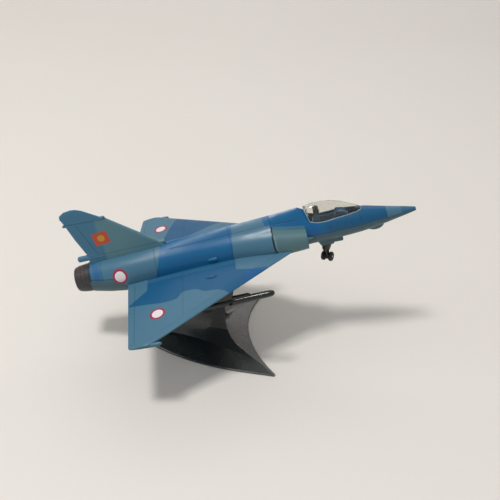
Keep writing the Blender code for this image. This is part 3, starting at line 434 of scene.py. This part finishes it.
def grain(look, base, amount, fine=900.0, broad=45.0):
    """The colour with slow and fine changes of tone."""
    slow = look.noise(broad, 2.0)
    quick = look.noise(fine, 2.0, 0.5)
    share = look.maths("MULTIPLY_ADD", look.maths("SUBTRACT", slow, 0.5), SLOW_TONE, 0.5)
    share = look.maths("MULTIPLY_ADD", look.maths("SUBTRACT", quick, 0.5), QUICK_TONE, share)
    dark = look.node("ShaderNodeMix", data_type="RGBA", blend_type="MULTIPLY")
    look.feed(dark.inputs[0], look.maths("MULTIPLY", share, amount, clamp=True))
    look.feed(dark.inputs[6], base)
    look.feed(dark.inputs[7], GRAIN_SHADE)
    return dark.outputs[2]


def worn(look, base, radius, limits, patch, scale, share, colour):
    """The base with its sharp edges rubbed to another colour, in patches."""
    patches = look.soft_step(*patch, look.noise(scale, 5.0))
    return look.tint(base, look.both(look.wear(radius, *limits), patches), share, colour)


def mark(look, base, u, v, centre):
    """A plain round decal: a red rim round a white field, and nothing inside."""
    reach = look.reach(look.maths("SUBTRACT", u, centre[0]), look.maths("SUBTRACT", v, centre[1]))
    disc = look.below(MARK_RADIUS, MARK_SOFT, reach)
    field = look.below(MARK_RADIUS * MARK_FIELD_SHARE, MARK_SOFT, reach)
    return look.mix(disc, base, look.mix(field, RED, WHITE))


def intake_edge(look, x, z):
    """How far ahead of the gap behind the intakes: the gap runs upright, then bends forward."""
    under = look.maths("MAXIMUM", look.maths("SUBTRACT", INTAKE_BEND_TOP, z), 0.0)
    return look.slope(x, look.maths("MULTIPLY", under, under), INTAKE_BEND, INTAKE_GAP)


# ---------------------------------------------------------------- paints


def painted(look, colour, lines, pebble=0.08, detail=3.0, rough=(0.30, 0.40), depth=0.00005,
            strength=0.6, coat_rough=0.16):
    """The satin finish of all the painted pieces, with its panel lines let in."""
    height = look.maths("SUBTRACT", look.maths("MULTIPLY", look.noise(1500.0, 2.0), pebble), lines)
    shine = look.uneven(240.0, detail, *rough)
    normal = look.bump(height, depth, strength)
    return look.finish(colour, shine, normal, coat=0.06, coat_rough=coat_rough, shine=PAINT_SHINE)


def upper_camouflage(look, x, z):
    """Light blue at the tail, ahead of the middle and on the nose, dark blue between."""
    xw = look.maths("ADD", x, look.wobble(55.0, 2.2))
    tail_light = look.below(0.0, 0.35, look.slope(xw, z, *TAIL_PATCH_EDGE))
    after_step = look.soft_step(0.0, 0.3, look.slope(x, z, *MID_PATCH_BACK))
    before = look.below(0.0, 0.35, look.slope(xw, z, *MID_PATCH_FRONT))
    strip = look.both(
        look.below(0.0, 0.35, look.slope(z, x, *MID_STRIP_TOP)),
        look.below(MID_STRIP_FRONT, 0.4, x),
    )
    mid_light = look.both(after_step, look.either(before, strip))
    nose_light = look.between(*NOSE_BAND, 0.3, x)
    light = look.either(tail_light, mid_light, nose_light)
    # Aft of about x = 31 mm the fuselage's dark blue is the brighter copy, painted light for its top lit
    # from above
    dark = look.mix(look.soft_step(LIT_BLUE_FRONT, LIT_BLUE_FADE, x), LIT_FUSELAGE_BLUE, DARK_BLUE)
    colour = look.mix(light, dark, LIGHT_BLUE)
    colour = look.tint(colour, look.soft_step(NOSE_BAND[1], 0.3, x), 0.5, LIGHT_BLUE)
    deep = look.either(
        look.both(
            look.between(*INTAKE_DEEP_LENGTH, 0.4, x),
            look.between(*INTAKE_DEEP_HEIGHT, 0.4, z),
        ),
        look.both(
            look.between(*TAIL_DEEP_LENGTH, 2.6, x),
            look.between(*TAIL_DEEP_HEIGHT, 1.4, z),
        ),
    )
    return look.tint(colour, deep, DEEP_SHARE, DEEP_BLUE)


def upper_paint():
    look = Look("blue_camouflage_fuselage")
    x, y, z = look.local()
    colour = grain(look, upper_camouflage(look, x, z), PAINT_GRAIN)
    seams = look.line_at(UPPER_SEAMS, 0.10, x)
    spine = look.both(
        look.line_at((SPINE_HALF_WIDTH,), 0.08, look.maths("ABSOLUTE", y)),
        look.between(*SPINE_LENGTH, 0.3, x),
        look.soft_step(SPINE_FOOT, 0.4, z),
    )
    hatch = look.both(
        look.either(
            look.line_at(HATCH_POSTS, 0.08, x),
            look.both(
                look.line_at(HATCH_HEIGHTS, 0.07, z),
                look.between(HATCH_POSTS[0], HATCH_POSTS[-1], 0.1, x),
            ),
        ),
        look.between(*HATCH_HEIGHTS, 0.1, z),
    )
    lines = look.either(seams, spine, hatch)
    colour = look.tint(colour, lines, PANEL_LINE_SHARE, SEAM_DARK_AND_GAP_SHADE)
    # Shadow gaps: round the tail end, along the shell seam and behind the intakes
    tail_gap = look.below(TAIL_GAP, 0.5, x)
    seam_gap = look.both(
        look.line_at((0.0,), 0.16, look.slope(z, x, *SHELL_SEAM)),
        look.below(SHELL_SEAM_FRONT, 0.3, x),
    )
    intake_gap = look.both(
        look.near(0.40, 0.3, intake_edge(look, x, z)),
        look.below(INTAKE_GAP_TOP, 0.4, z),
    )
    gaps = look.either(tail_gap, seam_gap, intake_gap)
    colour = look.tint(colour, gaps, 0.85, SEAM_DARK_AND_GAP_SHADE)
    colour = mark(look, colour, x, z, FUSELAGE_MARK)
    colour = worn(look, colour, **PAINT_CHIPS)
    return painted(look, colour, lines)


def starboard_light(look, x, out):
    """The outer panel up to a wavy edge, the wing's foot at the rear and its root in front."""
    curve = look.node("ShaderNodeFloatCurve", 1.0, look.stretch(*STARBOARD_WAVE_LENGTH, x))
    points = curve.mapping.curves[0].points
    points[0].location = STARBOARD_WAVE[0]
    points[1].location = STARBOARD_WAVE[-1]
    for spot in STARBOARD_WAVE[1:-1]:
        points.new(*spot)
    curve.mapping.update()
    border = look.stretch(0.0, 1.0, curve.outputs[0], *STARBOARD_WAVE_REACH)
    edge = look.maths("ADD", border, look.wobble(60.0, 1.6))
    outer = look.soft_step(0.0, 0.3, look.maths("SUBTRACT", out, edge))
    beyond = look.maths("MAXIMUM", look.maths("SUBTRACT", out, ROOT_OUT), 0.0)
    root = look.both(
        look.below(0.0, 0.5, look.slope(x, beyond, *ROOT_PATCH_EDGE)),
        look.below(ROOT_PATCH_END, 0.5, out),
    )
    front = look.both(
        look.soft_step(FRONT_PATCH_BACK, 0.3, x),
        look.below(0.0, 0.3, look.slope(out, x, *FRONT_PATCH_EDGE)),
    )
    return look.either(outer, root, front)


def port_light(look, x, out):
    """A light tip, and a light root ahead of a slanted edge."""
    xw = look.maths("ADD", x, look.wobble(60.0, 1.6))
    tip = look.below(0.0, 0.3, look.slope(xw, out, *PORT_TIP_EDGE))
    inner = look.soft_step(0.0, 0.3, look.slope(xw, out, *PORT_ROOT_EDGE))
    return look.either(tip, look.both(inner, look.below(PORT_ROOT_END, 6.0, out)))


def wing_lines(look, x, out):
    """Hinge line and ends of the elevons, the slat line along the front edge, and one line across."""
    elevon = look.both(
        look.near(LINE_HALF, LINE_SOFT, look.slope(x, out, *HINGE_LINE)),
        look.between(ELEVON_ENDS[0], ELEVON_ENDS[-1], 0.1, out),
    )
    split = look.both(look.line_at(ELEVON_ENDS, 0.10, out), look.below(ELEVON_FRONT, 0.2, x))
    slat = look.both(
        look.near(LINE_HALF, LINE_SOFT, look.slope(x, out, *SLAT_LINE)),
        look.between(*SLAT_ENDS, 0.2, out),
    )
    across = look.both(look.line_at((ACROSS_LINE,), 0.08, x), look.between(*ACROSS_ENDS, 0.2, out))
    return look.either(elevon, split, slat, across)


def wing_paint():
    look = Look("blue_camouflage_wing")
    x, y, _ = look.local()
    out = look.maths("ABSOLUTE", y)
    side = look.soft_step(0.0, 0.1, y)
    light = look.mix(side, starboard_light(look, x, out), port_light(look, x, out))
    colour = look.mix(light, DARK_BLUE, LIGHT_BLUE)
    deep = look.both(
        look.between(*DEEP_PANEL_LENGTH, 0.4, x),
        look.soft_step(DEEP_PANEL_IN, 0.4, out),
        look.flip(side),
    )
    colour = look.tint(colour, deep, DEEP_SHARE, DEEP_BLUE)
    facing = look.node("ShaderNodeNewGeometry").outputs["Normal"]
    under = look.below(0.0, 0.3, look.node("ShaderNodeSeparateXYZ", facing).outputs[2])
    colour = look.mix(under, colour, LOWER_TEAL)
    colour = grain(look, colour, PAINT_GRAIN)
    for centre in WING_MARKS:
        colour = mark(look, colour, x, y, centre)
    lines = wing_lines(look, x, out)
    colour = look.tint(colour, lines, PANEL_LINE_SHARE, (0.008, 0.022, 0.040))
    # Painted highlight: paler along the root, where the wing meets the fuselage and the join catches the
    # light
    root_highlight = look.both(
        look.between(*ROOT_HIGHLIGHT_WIDTH, 1.0, out),
        look.between(*ROOT_HIGHLIGHT_LENGTH, 3.0, x),
        look.flip(under),
    )
    colour = look.tint(colour, root_highlight, 0.35, LIGHT_BLUE)
    colour = worn(look, colour, **PAINT_CHIPS)
    return painted(look, colour, lines)


def fin_paint():
    look = Look("fin_teal_and_slate")
    x, _, z = look.local()
    back = look.below(FIN_SLATE_FRONT, 1.2, look.maths("ADD", x, look.wobble(70.0, 2.0)))
    cap = look.soft_step(0.0, 0.4, look.slope(z, x, *FIN_CAP_EDGE))
    colour = look.mix(look.either(back, cap), FIN_TEAL, FIN_SLATE)
    colour = grain(look, colour, PAINT_GRAIN)
    # A plain orange patch with an amber disc
    u = look.slope(x, z, *PATCH_CENTRE_X)
    v = look.slope(z, x, *PATCH_CENTRE_Z)
    patch = look.both(
        look.between(-PATCH_HALF_LENGTH, PATCH_HALF_LENGTH, 0.25, u),
        look.between(-PATCH_HALF_HEIGHT, PATCH_HALF_HEIGHT, 0.25, v),
    )
    colour = look.mix(patch, colour, ORANGE)
    colour = look.mix(look.below(PATCH_DISC_RADIUS, 0.4, look.reach(u, v)), colour, AMBER)
    rudder = look.both(
        look.near(LINE_HALF, LINE_SOFT, look.slope(x, z, *RUDDER_LINE)),
        look.between(*RUDDER_HEIGHT, 0.2, z),
    )
    crest = look.near(0.14, LINE_SOFT, look.slope(z, x, *CREST_LINE))
    foot = look.both(look.line_at((FOOT_LINE,), 0.08, z), look.between(*FOOT_LENGTH, 0.2, x))
    lines = look.either(rudder, crest, foot)
    colour = look.tint(colour, lines, 0.5, (0.010, 0.028, 0.040))
    colour = worn(look, colour, **FIN_CHIPS)
    return painted(look, colour, lines, 0.10, 4.0, (0.30, 0.42), 0.00007, 0.7, 0.2)


def shell_plastic(name, colour, x_lines=(), marked=False, intake=False):
    """The grey-teal of the lower pieces, with seams across it at those stations."""
    look = Look(name)
    x, _, z = look.local()
    toned = worn(look, grain(look, colour, 0.20), **SHELL_CHIPS)
    height = look.maths("MULTIPLY", look.noise(1900.0, 3.0), 0.14)
    if x_lines:
        lines = look.line_at(x_lines, 0.09, x)
        toned = look.tint(toned, lines, 0.5, (0.012, 0.024, 0.030))
        height = look.maths("SUBTRACT", height, lines)
    if marked:
        toned = mark(look, toned, x, z, FUSELAGE_MARK)
    if intake:
        ahead = intake_edge(look, x, z)
        # Painted highlight on the intake's rim just ahead of the gap behind it
        rim_highlight = look.both(look.between(*INTAKE_RIM_HIGHLIGHT, 0.2, ahead), look.below(INTAKE_RIM_HIGHLIGHT_TOP, 0.4, z))
        toned = look.tint(toned, rim_highlight, 0.3, (0.24, 0.36, 0.38))
        toned = look.mix(look.below(0.0, 0.3, ahead), toned, LIGHT_BLUE)
        # Painted shade in the gap behind the intake
        toned = look.tint(toned, look.near(0.30, 0.3, ahead), 0.8, SEAM_DARK_AND_GAP_SHADE)
    rough = look.uneven(260.0, 4.0, 0.34, 0.46)
    normal = look.bump(height, 0.00006, 0.6)
    return look.finish(toned, rough, normal, coat=0.05, coat_rough=0.25, shine=PAINT_SHINE)


def moulded_height(look):
    """The faint pebble and slow waves of moulded plastic."""
    return look.maths("ADD", look.noise(1600.0, 3.0), look.maths("MULTIPLY", look.noise(110.0, 2.0), 1.5))


def black_plastic(name, colour, rough, coat):
    look = Look(name)
    toned = worn(look, grain(look, colour, 0.5, 700.0, 60.0), share=0.35, **BLACK_RUB)
    normal = look.bump(moulded_height(look), 0.00003, 0.5)
    return look.finish(toned, look.uneven(180.0, 4.0, *rough), normal, coat=coat, coat_rough=0.06)


def stand_plastic():
    """Black plastic that shines more low down, with a painted sheen that makes it paler towards its front
    corners.
    """
    look = Look("stand_gloss_black")
    x, _, z = look.node("ShaderNodeSeparateXYZ", look.coords).outputs
    # Painted sheen: paler low down towards the front corners, for the floor and light reflected there
    painted_sheen = look.both(look.soft_step(*STAND_SHEEN_FRONT, x), look.below(*STAND_SHEEN_TOP, z))
    toned = look.mix(painted_sheen, STAND_BLACK, STAND_SHEEN)
    toned = grain(look, toned, 0.4, 700.0, 60.0)
    toned = worn(look, toned, share=0.3, **BLACK_RUB)
    rough = look.uneven(180.0, 4.0, 0.20, 0.30)
    shine = look.stretch(*STAND_SHINE_HEIGHT, z, *STAND_SHINE)
    return look.finish(toned, rough, look.bump(moulded_height(look), 0.00002, 0.5), shine=shine)


def tyre_rubber():
    look = Look("tyre_rubber_scuffed")
    toned = worn(look, grain(look, TYRE_BLACK, 0.5, 1200.0, 200.0), **TYRE_DUST)
    rough = look.uneven(500.0, 4.0, 0.5, 0.75)
    return look.finish(toned, rough, look.bump(look.noise(2600.0, 4.0), 0.00005, 0.6))


def steel(name, colour):
    """Turned steel, with fine rings from the tool."""
    look = Look(name)
    streaks = look.node("ShaderNodeMapping", look.coords)
    streaks.inputs["Scale"].default_value = (400.0, 3000.0, 400.0)
    lines = look.noise(1.0, 4.0, 0.6, streaks.outputs[0])
    toned = look.tint(colour, lines, 0.6, tuple(c * 0.45 for c in colour))
    rough = look.stretch(*NOISE_SPREAD, lines, 0.22, 0.42)
    return look.finish(toned, rough, look.bump(lines, 0.00002, 0.5), metallic=1.0)


def nozzle_plastic():
    """Warm grey with petal lines, sootier at its open end."""
    look = Look("nozzle_warm_grey")
    x, y, z = look.local()
    warm = look.both(
        look.soft_step(NOZZLE_WARM_FOOT, 2.0, z),
        look.between(*NOZZLE_WARM_LENGTH, 1.0, x),
    )
    colour = look.mix(warm, NOZZLE_GREY, NOZZLE_BROWN)
    colour = grain(look, colour, 0.35, 800.0, 90.0)
    angle = look.maths("ARCTAN2", y, look.maths("SUBTRACT", z, NOZZLE_AXIS_HEIGHT))
    ribs = look.maths("ABSOLUTE", look.maths("SINE", look.maths("MULTIPLY", angle, PETAL_COUNT / 2)))
    petals = look.both(look.below(0.10, 0.12, ribs), look.below(PETAL_FRONT, 0.2, x))
    lines = look.either(petals, look.line_at(NOZZLE_RINGS, 0.10, x))
    colour = look.tint(colour, lines, 0.55, (0.012, 0.011, 0.010))
    colour = look.tint(colour, look.below(NOZZLE_SOOT_FRONT, 1.2, x), 0.35, (0.030, 0.024, 0.022))
    height = look.maths("SUBTRACT", look.maths("MULTIPLY", look.noise(1500.0, 3.0), 0.2), lines)
    rough = look.uneven(300.0, 4.0, 0.38, 0.55)
    return look.finish(colour, rough, look.bump(height, 0.00008, 0.8), metallic=0.15)


def clear_hood():
    """Clear plastic with a trace of cream, a little smeared."""
    look = Look("clear_hood")
    smear = look.noise(160.0, 4.0, 0.6)
    look.feed(look.shader.inputs["Roughness"], look.stretch(0.35, 0.75, smear, 0.02, 0.10))
    tone = look.tint((0.90, 0.90, 0.86), look.noise(60.0, 2.0), 0.3, (0.86, 0.87, 0.84))
    look.feed(look.shader.inputs["Base Color"], tone)
    look.shader.inputs["Transmission Weight"].default_value = HOOD_CLEARNESS
    look.shader.inputs["IOR"].default_value = HOOD_IOR
    look.feed(look.shader.inputs["Normal"], look.bump(look.noise(90.0, 2.0), 0.00004, 0.4))
    return look.material


def cockpit_paint():
    """Dark blue inside the cockpit, with a brown-black headrest."""
    look = Look("cockpit_dark_blue")
    x, _, z = look.local()
    toned = look.mix(look.soft_step(HEADREST_FOOT, 0.4, z), COCKPIT_BLUE, HEADREST_BROWN)
    dials = look.both(look.between(*DIALS_LENGTH, 0.2, x), look.soft_step(DIALS_FOOT, 0.3, z))
    toned = look.tint(toned, dials, 0.4, (0.012, 0.030, 0.048))
    toned = grain(look, toned, 0.4, 900.0, 140.0)
    rough = look.uneven(400.0, 4.0, 0.45, 0.65)
    return look.finish(toned, rough, look.bump(look.noise(1400.0, 3.0), 0.00005, 0.6))


def rim_highlight_paint():
    # Pale bead round the hood: a painted highlight for the light caught in its clear edge
    look = Look("hood_rim_highlight_pale")
    toned = grain(look, RIM_HIGHLIGHT_PALE, 0.4, 1500.0, 200.0)
    rough = look.uneven(700.0, 3.0, 0.2, 0.4)
    return look.finish(toned, rough, look.bump(look.noise(2200.0, 3.0), 0.00003, 0.5))


def table_surface():
    look = Look("pale_table")
    fine = look.noise(420.0, 5.0, 0.65)
    colour = look.mix(look.noise(3.0, 2.0), TABLE_TONES[0], TABLE_TONES[1])
    colour = look.tint(colour, fine, 0.10, TABLE_SPECK)
    rough = look.stretch(*NOISE_SPREAD, fine, 0.55, 0.7)
    return look.finish(colour, rough, look.bump(fine, 0.00005, 0.3))


# ---------------------------------------------------------------- pieces


def welded_copy(node, name):
    """A new mesh with the node's shape, its triangles joined up so that it can be shaded smooth."""
    source = frame["nodes"][node].data
    bm = bmesh.new()
    verts = [bm.verts.new(v.co) for v in source.vertices]
    for polygon in source.polygons:
        bm.faces.new([verts[i] for i in polygon.vertices])
    bmesh.ops.remove_doubles(bm, verts=bm.verts, dist=WELD_GAP)
    bmesh.ops.dissolve_degenerate(bm, dist=SLIVER, edges=bm.edges)
    bmesh.ops.dissolve_limit(bm, angle_limit=FLAT_ANGLE, verts=bm.verts, edges=bm.edges)
    bmesh.ops.recalc_face_normals(bm, faces=bm.faces)
    mesh = bpy.data.meshes.new(name)
    bm.to_mesh(mesh)
    bm.free()
    return mesh


def slot_of(node):
    """The material slot that the record gives the node."""
    rows = frame["record"]["subparts"]
    return next(row["material_slot"] for row in rows if row["node"] == node)


def dress(node, material, angle, bevel):
    """The skin that stands for a node: its welded shape, smooth, with its sharp edges eased.

    Edges sharper than the angle, in degrees, stay sharp, and are rounded by the bevel, in millimetres.
    """
    name = f"{node}_skin"
    mesh = welded_copy(node, name)
    mesh.materials.append(material)
    mesh.shade_smooth()
    mesh.set_sharp_from_angle(angle=math.radians(angle))
    piece = bpy.data.objects.new(name, mesh)
    bpy.context.scene.collection.objects.link(piece)
    if bevel:
        eased = piece.modifiers.new("eased edges", "BEVEL")
        eased.width = bevel * MM
        eased.segments = 2
        eased.limit_method = "ANGLE"
        eased.angle_limit = math.radians(angle)
        eased.harden_normals = True
    weighted = piece.modifiers.new("even shading", "WEIGHTED_NORMAL")
    weighted.keep_sharp = True
    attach(piece, frame["nodes"][node]["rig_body"])
    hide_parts(node)
    slot_of(node)


def sill_loop():
    """The outer edge of the clear hood where it meets the fuselage, as points in order."""
    bm = bmesh.new()
    bm.from_mesh(welded_copy("canopy", "hood_outline"))
    level = Matrix.Rotation(PITCH, 3, "Y")
    steps = {}
    for edge in bm.edges:
        facing = []
        for face in edge.link_faces:
            centre = level @ (face.calc_center_median() - Vector(DATUM))
            outward = Vector((0.0, centre.y, centre.z - HOOD_CENTRE_HEIGHT * MM)).normalized()
            facing.append((level @ face.normal).dot(outward))
        if len(facing) == 2 and min(facing) < HOOD_INWARD and max(facing) > HOOD_OUTWARD:
            for here, there in (edge.verts, reversed(edge.verts)):
                steps.setdefault(here.index, []).append(there.index)
    bm.verts.ensure_lookup_table()
    start = min(steps, key=lambda index: bm.verts[index].co.x)
    order, last = [start], None
    while True:
        onward = [index for index in steps[order[-1]] if index != last and index not in order[1:]]
        if not onward or onward[0] == start:
            break
        last = order[-1]
        order.append(onward[0])
    points = [bm.verts[index].co.copy() for index in order]
    bm.free()
    return points


def add_hood_rim(material):
    """A thin pale bead that runs round the foot of the clear hood: a frame, and a painted highlight for the
    light caught in the hood's clear edge.
    """
    data = bpy.data.curves.new("hood_rim_line", "CURVE")
    data.dimensions = "3D"
    data.bevel_depth = RIM_RADIUS * MM
    data.bevel_resolution = 2
    points = sill_loop()
    spline = data.splines.new("POLY")
    spline.points.add(len(points) - 1)
    for bead, point in zip(spline.points, points):
        bead.co = (*point, 1.0)
    spline.use_cyclic_u = True
    line = bpy.data.objects.new("hood_rim_line", data)
    bpy.context.scene.collection.objects.link(line)
    graph = bpy.context.evaluated_depsgraph_get()
    mesh = bpy.data.meshes.new_from_object(line.evaluated_get(graph))
    bpy.data.objects.remove(line)
    mesh.materials.append(material)
    mesh.shade_smooth()
    rim_highlight = bpy.data.objects.new("hood_rim", mesh)
    bpy.context.scene.collection.objects.link(rim_highlight)
    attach(rim_highlight, frame["nodes"]["canopy"]["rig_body"])


def build():
    """A skin for every node, and the pale bead round the hood, frame and painted highlight."""
    upper, wing, fin = upper_paint(), wing_paint(), fin_paint()
    lower = shell_plastic("lower_grey_teal", LOWER_TEAL, LOWER_SEAMS, marked=True)
    intake = shell_plastic("intake_grey_teal", GREY_TEAL, intake=True)
    fairing = shell_plastic("fairing_grey_teal", LOWER_TEAL, FAIRING_SEAMS)
    gear = black_plastic("gear_black", GEAR_BLACK, (0.3, 0.5), 0.1)
    store = black_plastic("missile_black", MISSILE_BLACK, (0.22, 0.34), 0.1)
    stand = stand_plastic()
    dull = cockpit_paint()
    bright = steel("axle_steel_turned", AXLE_STEEL)
    plain = steel("screw_steel_plain", SCREW_STEEL)
    core = black_plastic("core_soot", SOOT, (0.5, 0.7), 0.0)
    rubber = tyre_rubber()
    # Each node's material, the angle above which its edges stay sharp, and their bevel
    dressed = {
        "upper_fuselage": (upper, 32.0, 0.0),
        "lower_fuselage": (lower, 32.0, 0.0),
        "delta_wing": (wing, 45.0, 0.0),
        "tail_fin": (fin, 40.0, 0.0),
        "left_intake": (intake, 32.0, 0.25),
        "right_intake": (intake, 32.0, 0.25),
        "nose_gear_fairing": (fairing, 30.0, 0.12),
        "canopy": (clear_hood(), 50.0, 0.0),
        "cockpit_tub": (dull, 30.0, 0.1),
        "instrument_panel": (dull, 30.0, 0.1),
        "pilot_seat": (dull, 30.0, 0.15),
        "exhaust_nozzle": (nozzle_plastic(), 35.0, 0.08),
        "exhaust_core": (core, 35.0, 0.05),
        "nose_gear_leg": (gear, 35.0, 0.06),
        "left_main_gear_leg": (gear, 35.0, 0.08),
        "right_main_gear_leg": (gear, 35.0, 0.08),
        "left_nose_wheel": (rubber, 50.0, 0.05),
        "right_nose_wheel": (rubber, 50.0, 0.05),
        "left_main_wheel": (rubber, 50.0, 0.06),
        "right_main_wheel": (rubber, 50.0, 0.06),
        "nose_axle": (bright, 40.0, 0.04),
        "left_main_axle": (bright, 40.0, 0.04),
        "right_main_axle": (bright, 40.0, 0.04),
        "front_screw": (plain, 35.0, 0.04),
        "rear_screw": (plain, 35.0, 0.04),
        "left_pylon": (store, 30.0, 0.06),
        "right_pylon": (store, 30.0, 0.06),
        "left_missile": (store, 35.0, 0.03),
        "right_missile": (store, 35.0, 0.03),
        "stand_base": (stand, 28.0, 0.25),
    }
    for node, (material, angle, bevel) in dressed.items():
        dress(node, material, angle, bevel)
    add_hood_rim(rim_highlight_paint())


# ---------------------------------------------------------------- stage


def make_stage():
    """A pale table that sweeps up into a backdrop."""
    bm = bmesh.new()
    rows = [(TABLE_FRONT, 0.0), (TABLE_BACK, 0.0)]
    for step in range(1, SWEEP_STEPS + 1):
        angle = math.pi / 2 * step / SWEEP_STEPS
        back = TABLE_BACK + SWEEP_RADIUS * math.sin(angle)
        rows.append((back, SWEEP_RADIUS - SWEEP_RADIUS * math.cos(angle)))
    rows.append((TABLE_BACK + SWEEP_RADIUS, BACKDROP_TOP))
    sides = (-TABLE_HALF_WIDTH, TABLE_HALF_WIDTH)
    lines = [[bm.verts.new((x, y, z)) for x in sides] for y, z in rows]
    for first, second in zip(lines, lines[1:]):
        bm.faces.new((first[0], first[1], second[1], second[0]))
    mesh = bpy.data.meshes.new("table_and_backdrop")
    bm.to_mesh(mesh)
    bm.free()
    mesh.shade_smooth()
    mesh.materials.append(table_surface())
    floor = bpy.data.objects.new("table_and_backdrop", mesh)
    bpy.context.scene.collection.objects.link(floor)


def add_lamp(name, place, size, power, colour):
    data = bpy.data.lights.new(name, "AREA")
    data.shape = "RECTANGLE"
    data.size, data.size_y = size
    data.energy = power
    data.color = colour
    lamp = bpy.data.objects.new(name, data)
    lamp.location = place
    lamp.rotation_euler = (Vector(LAMP_TARGET) - Vector(place)).to_track_quat("-Z", "Y").to_euler()
    bpy.context.scene.collection.objects.link(lamp)


def make_light():
    world = bpy.data.worlds.new("soft_room")
    bpy.context.scene.world = world
    world.use_nodes = True
    background = world.node_tree.nodes["Background"]
    background.inputs["Color"].default_value = ROOM_COLOUR
    background.inputs["Strength"].default_value = ROOM_STRENGTH
    for lamp in LAMPS:
        add_lamp(*lamp)


def make_camera():
    data = bpy.data.cameras.new("photo_view")
    data.lens = LENS
    data.sensor_width = SENSOR
    camera = bpy.data.objects.new("photo_view", data)
    right = ROLL_COSINE * CAMERA_LEVEL + ROLL_SINE * CAMERA_ABOVE
    up = ROLL_COSINE * CAMERA_ABOVE - ROLL_SINE * CAMERA_LEVEL
    place = Matrix((right, up, -CAMERA_FORWARD)).transposed().to_4x4()
    place.translation = CAMERA_PLACE
    camera.matrix_world = place
    bpy.context.scene.collection.objects.link(camera)
    bpy.context.scene.camera = camera


make_camera()
make_light()
make_stage()
build()
bpy.context.scene.view_settings.view_transform = "Standard"
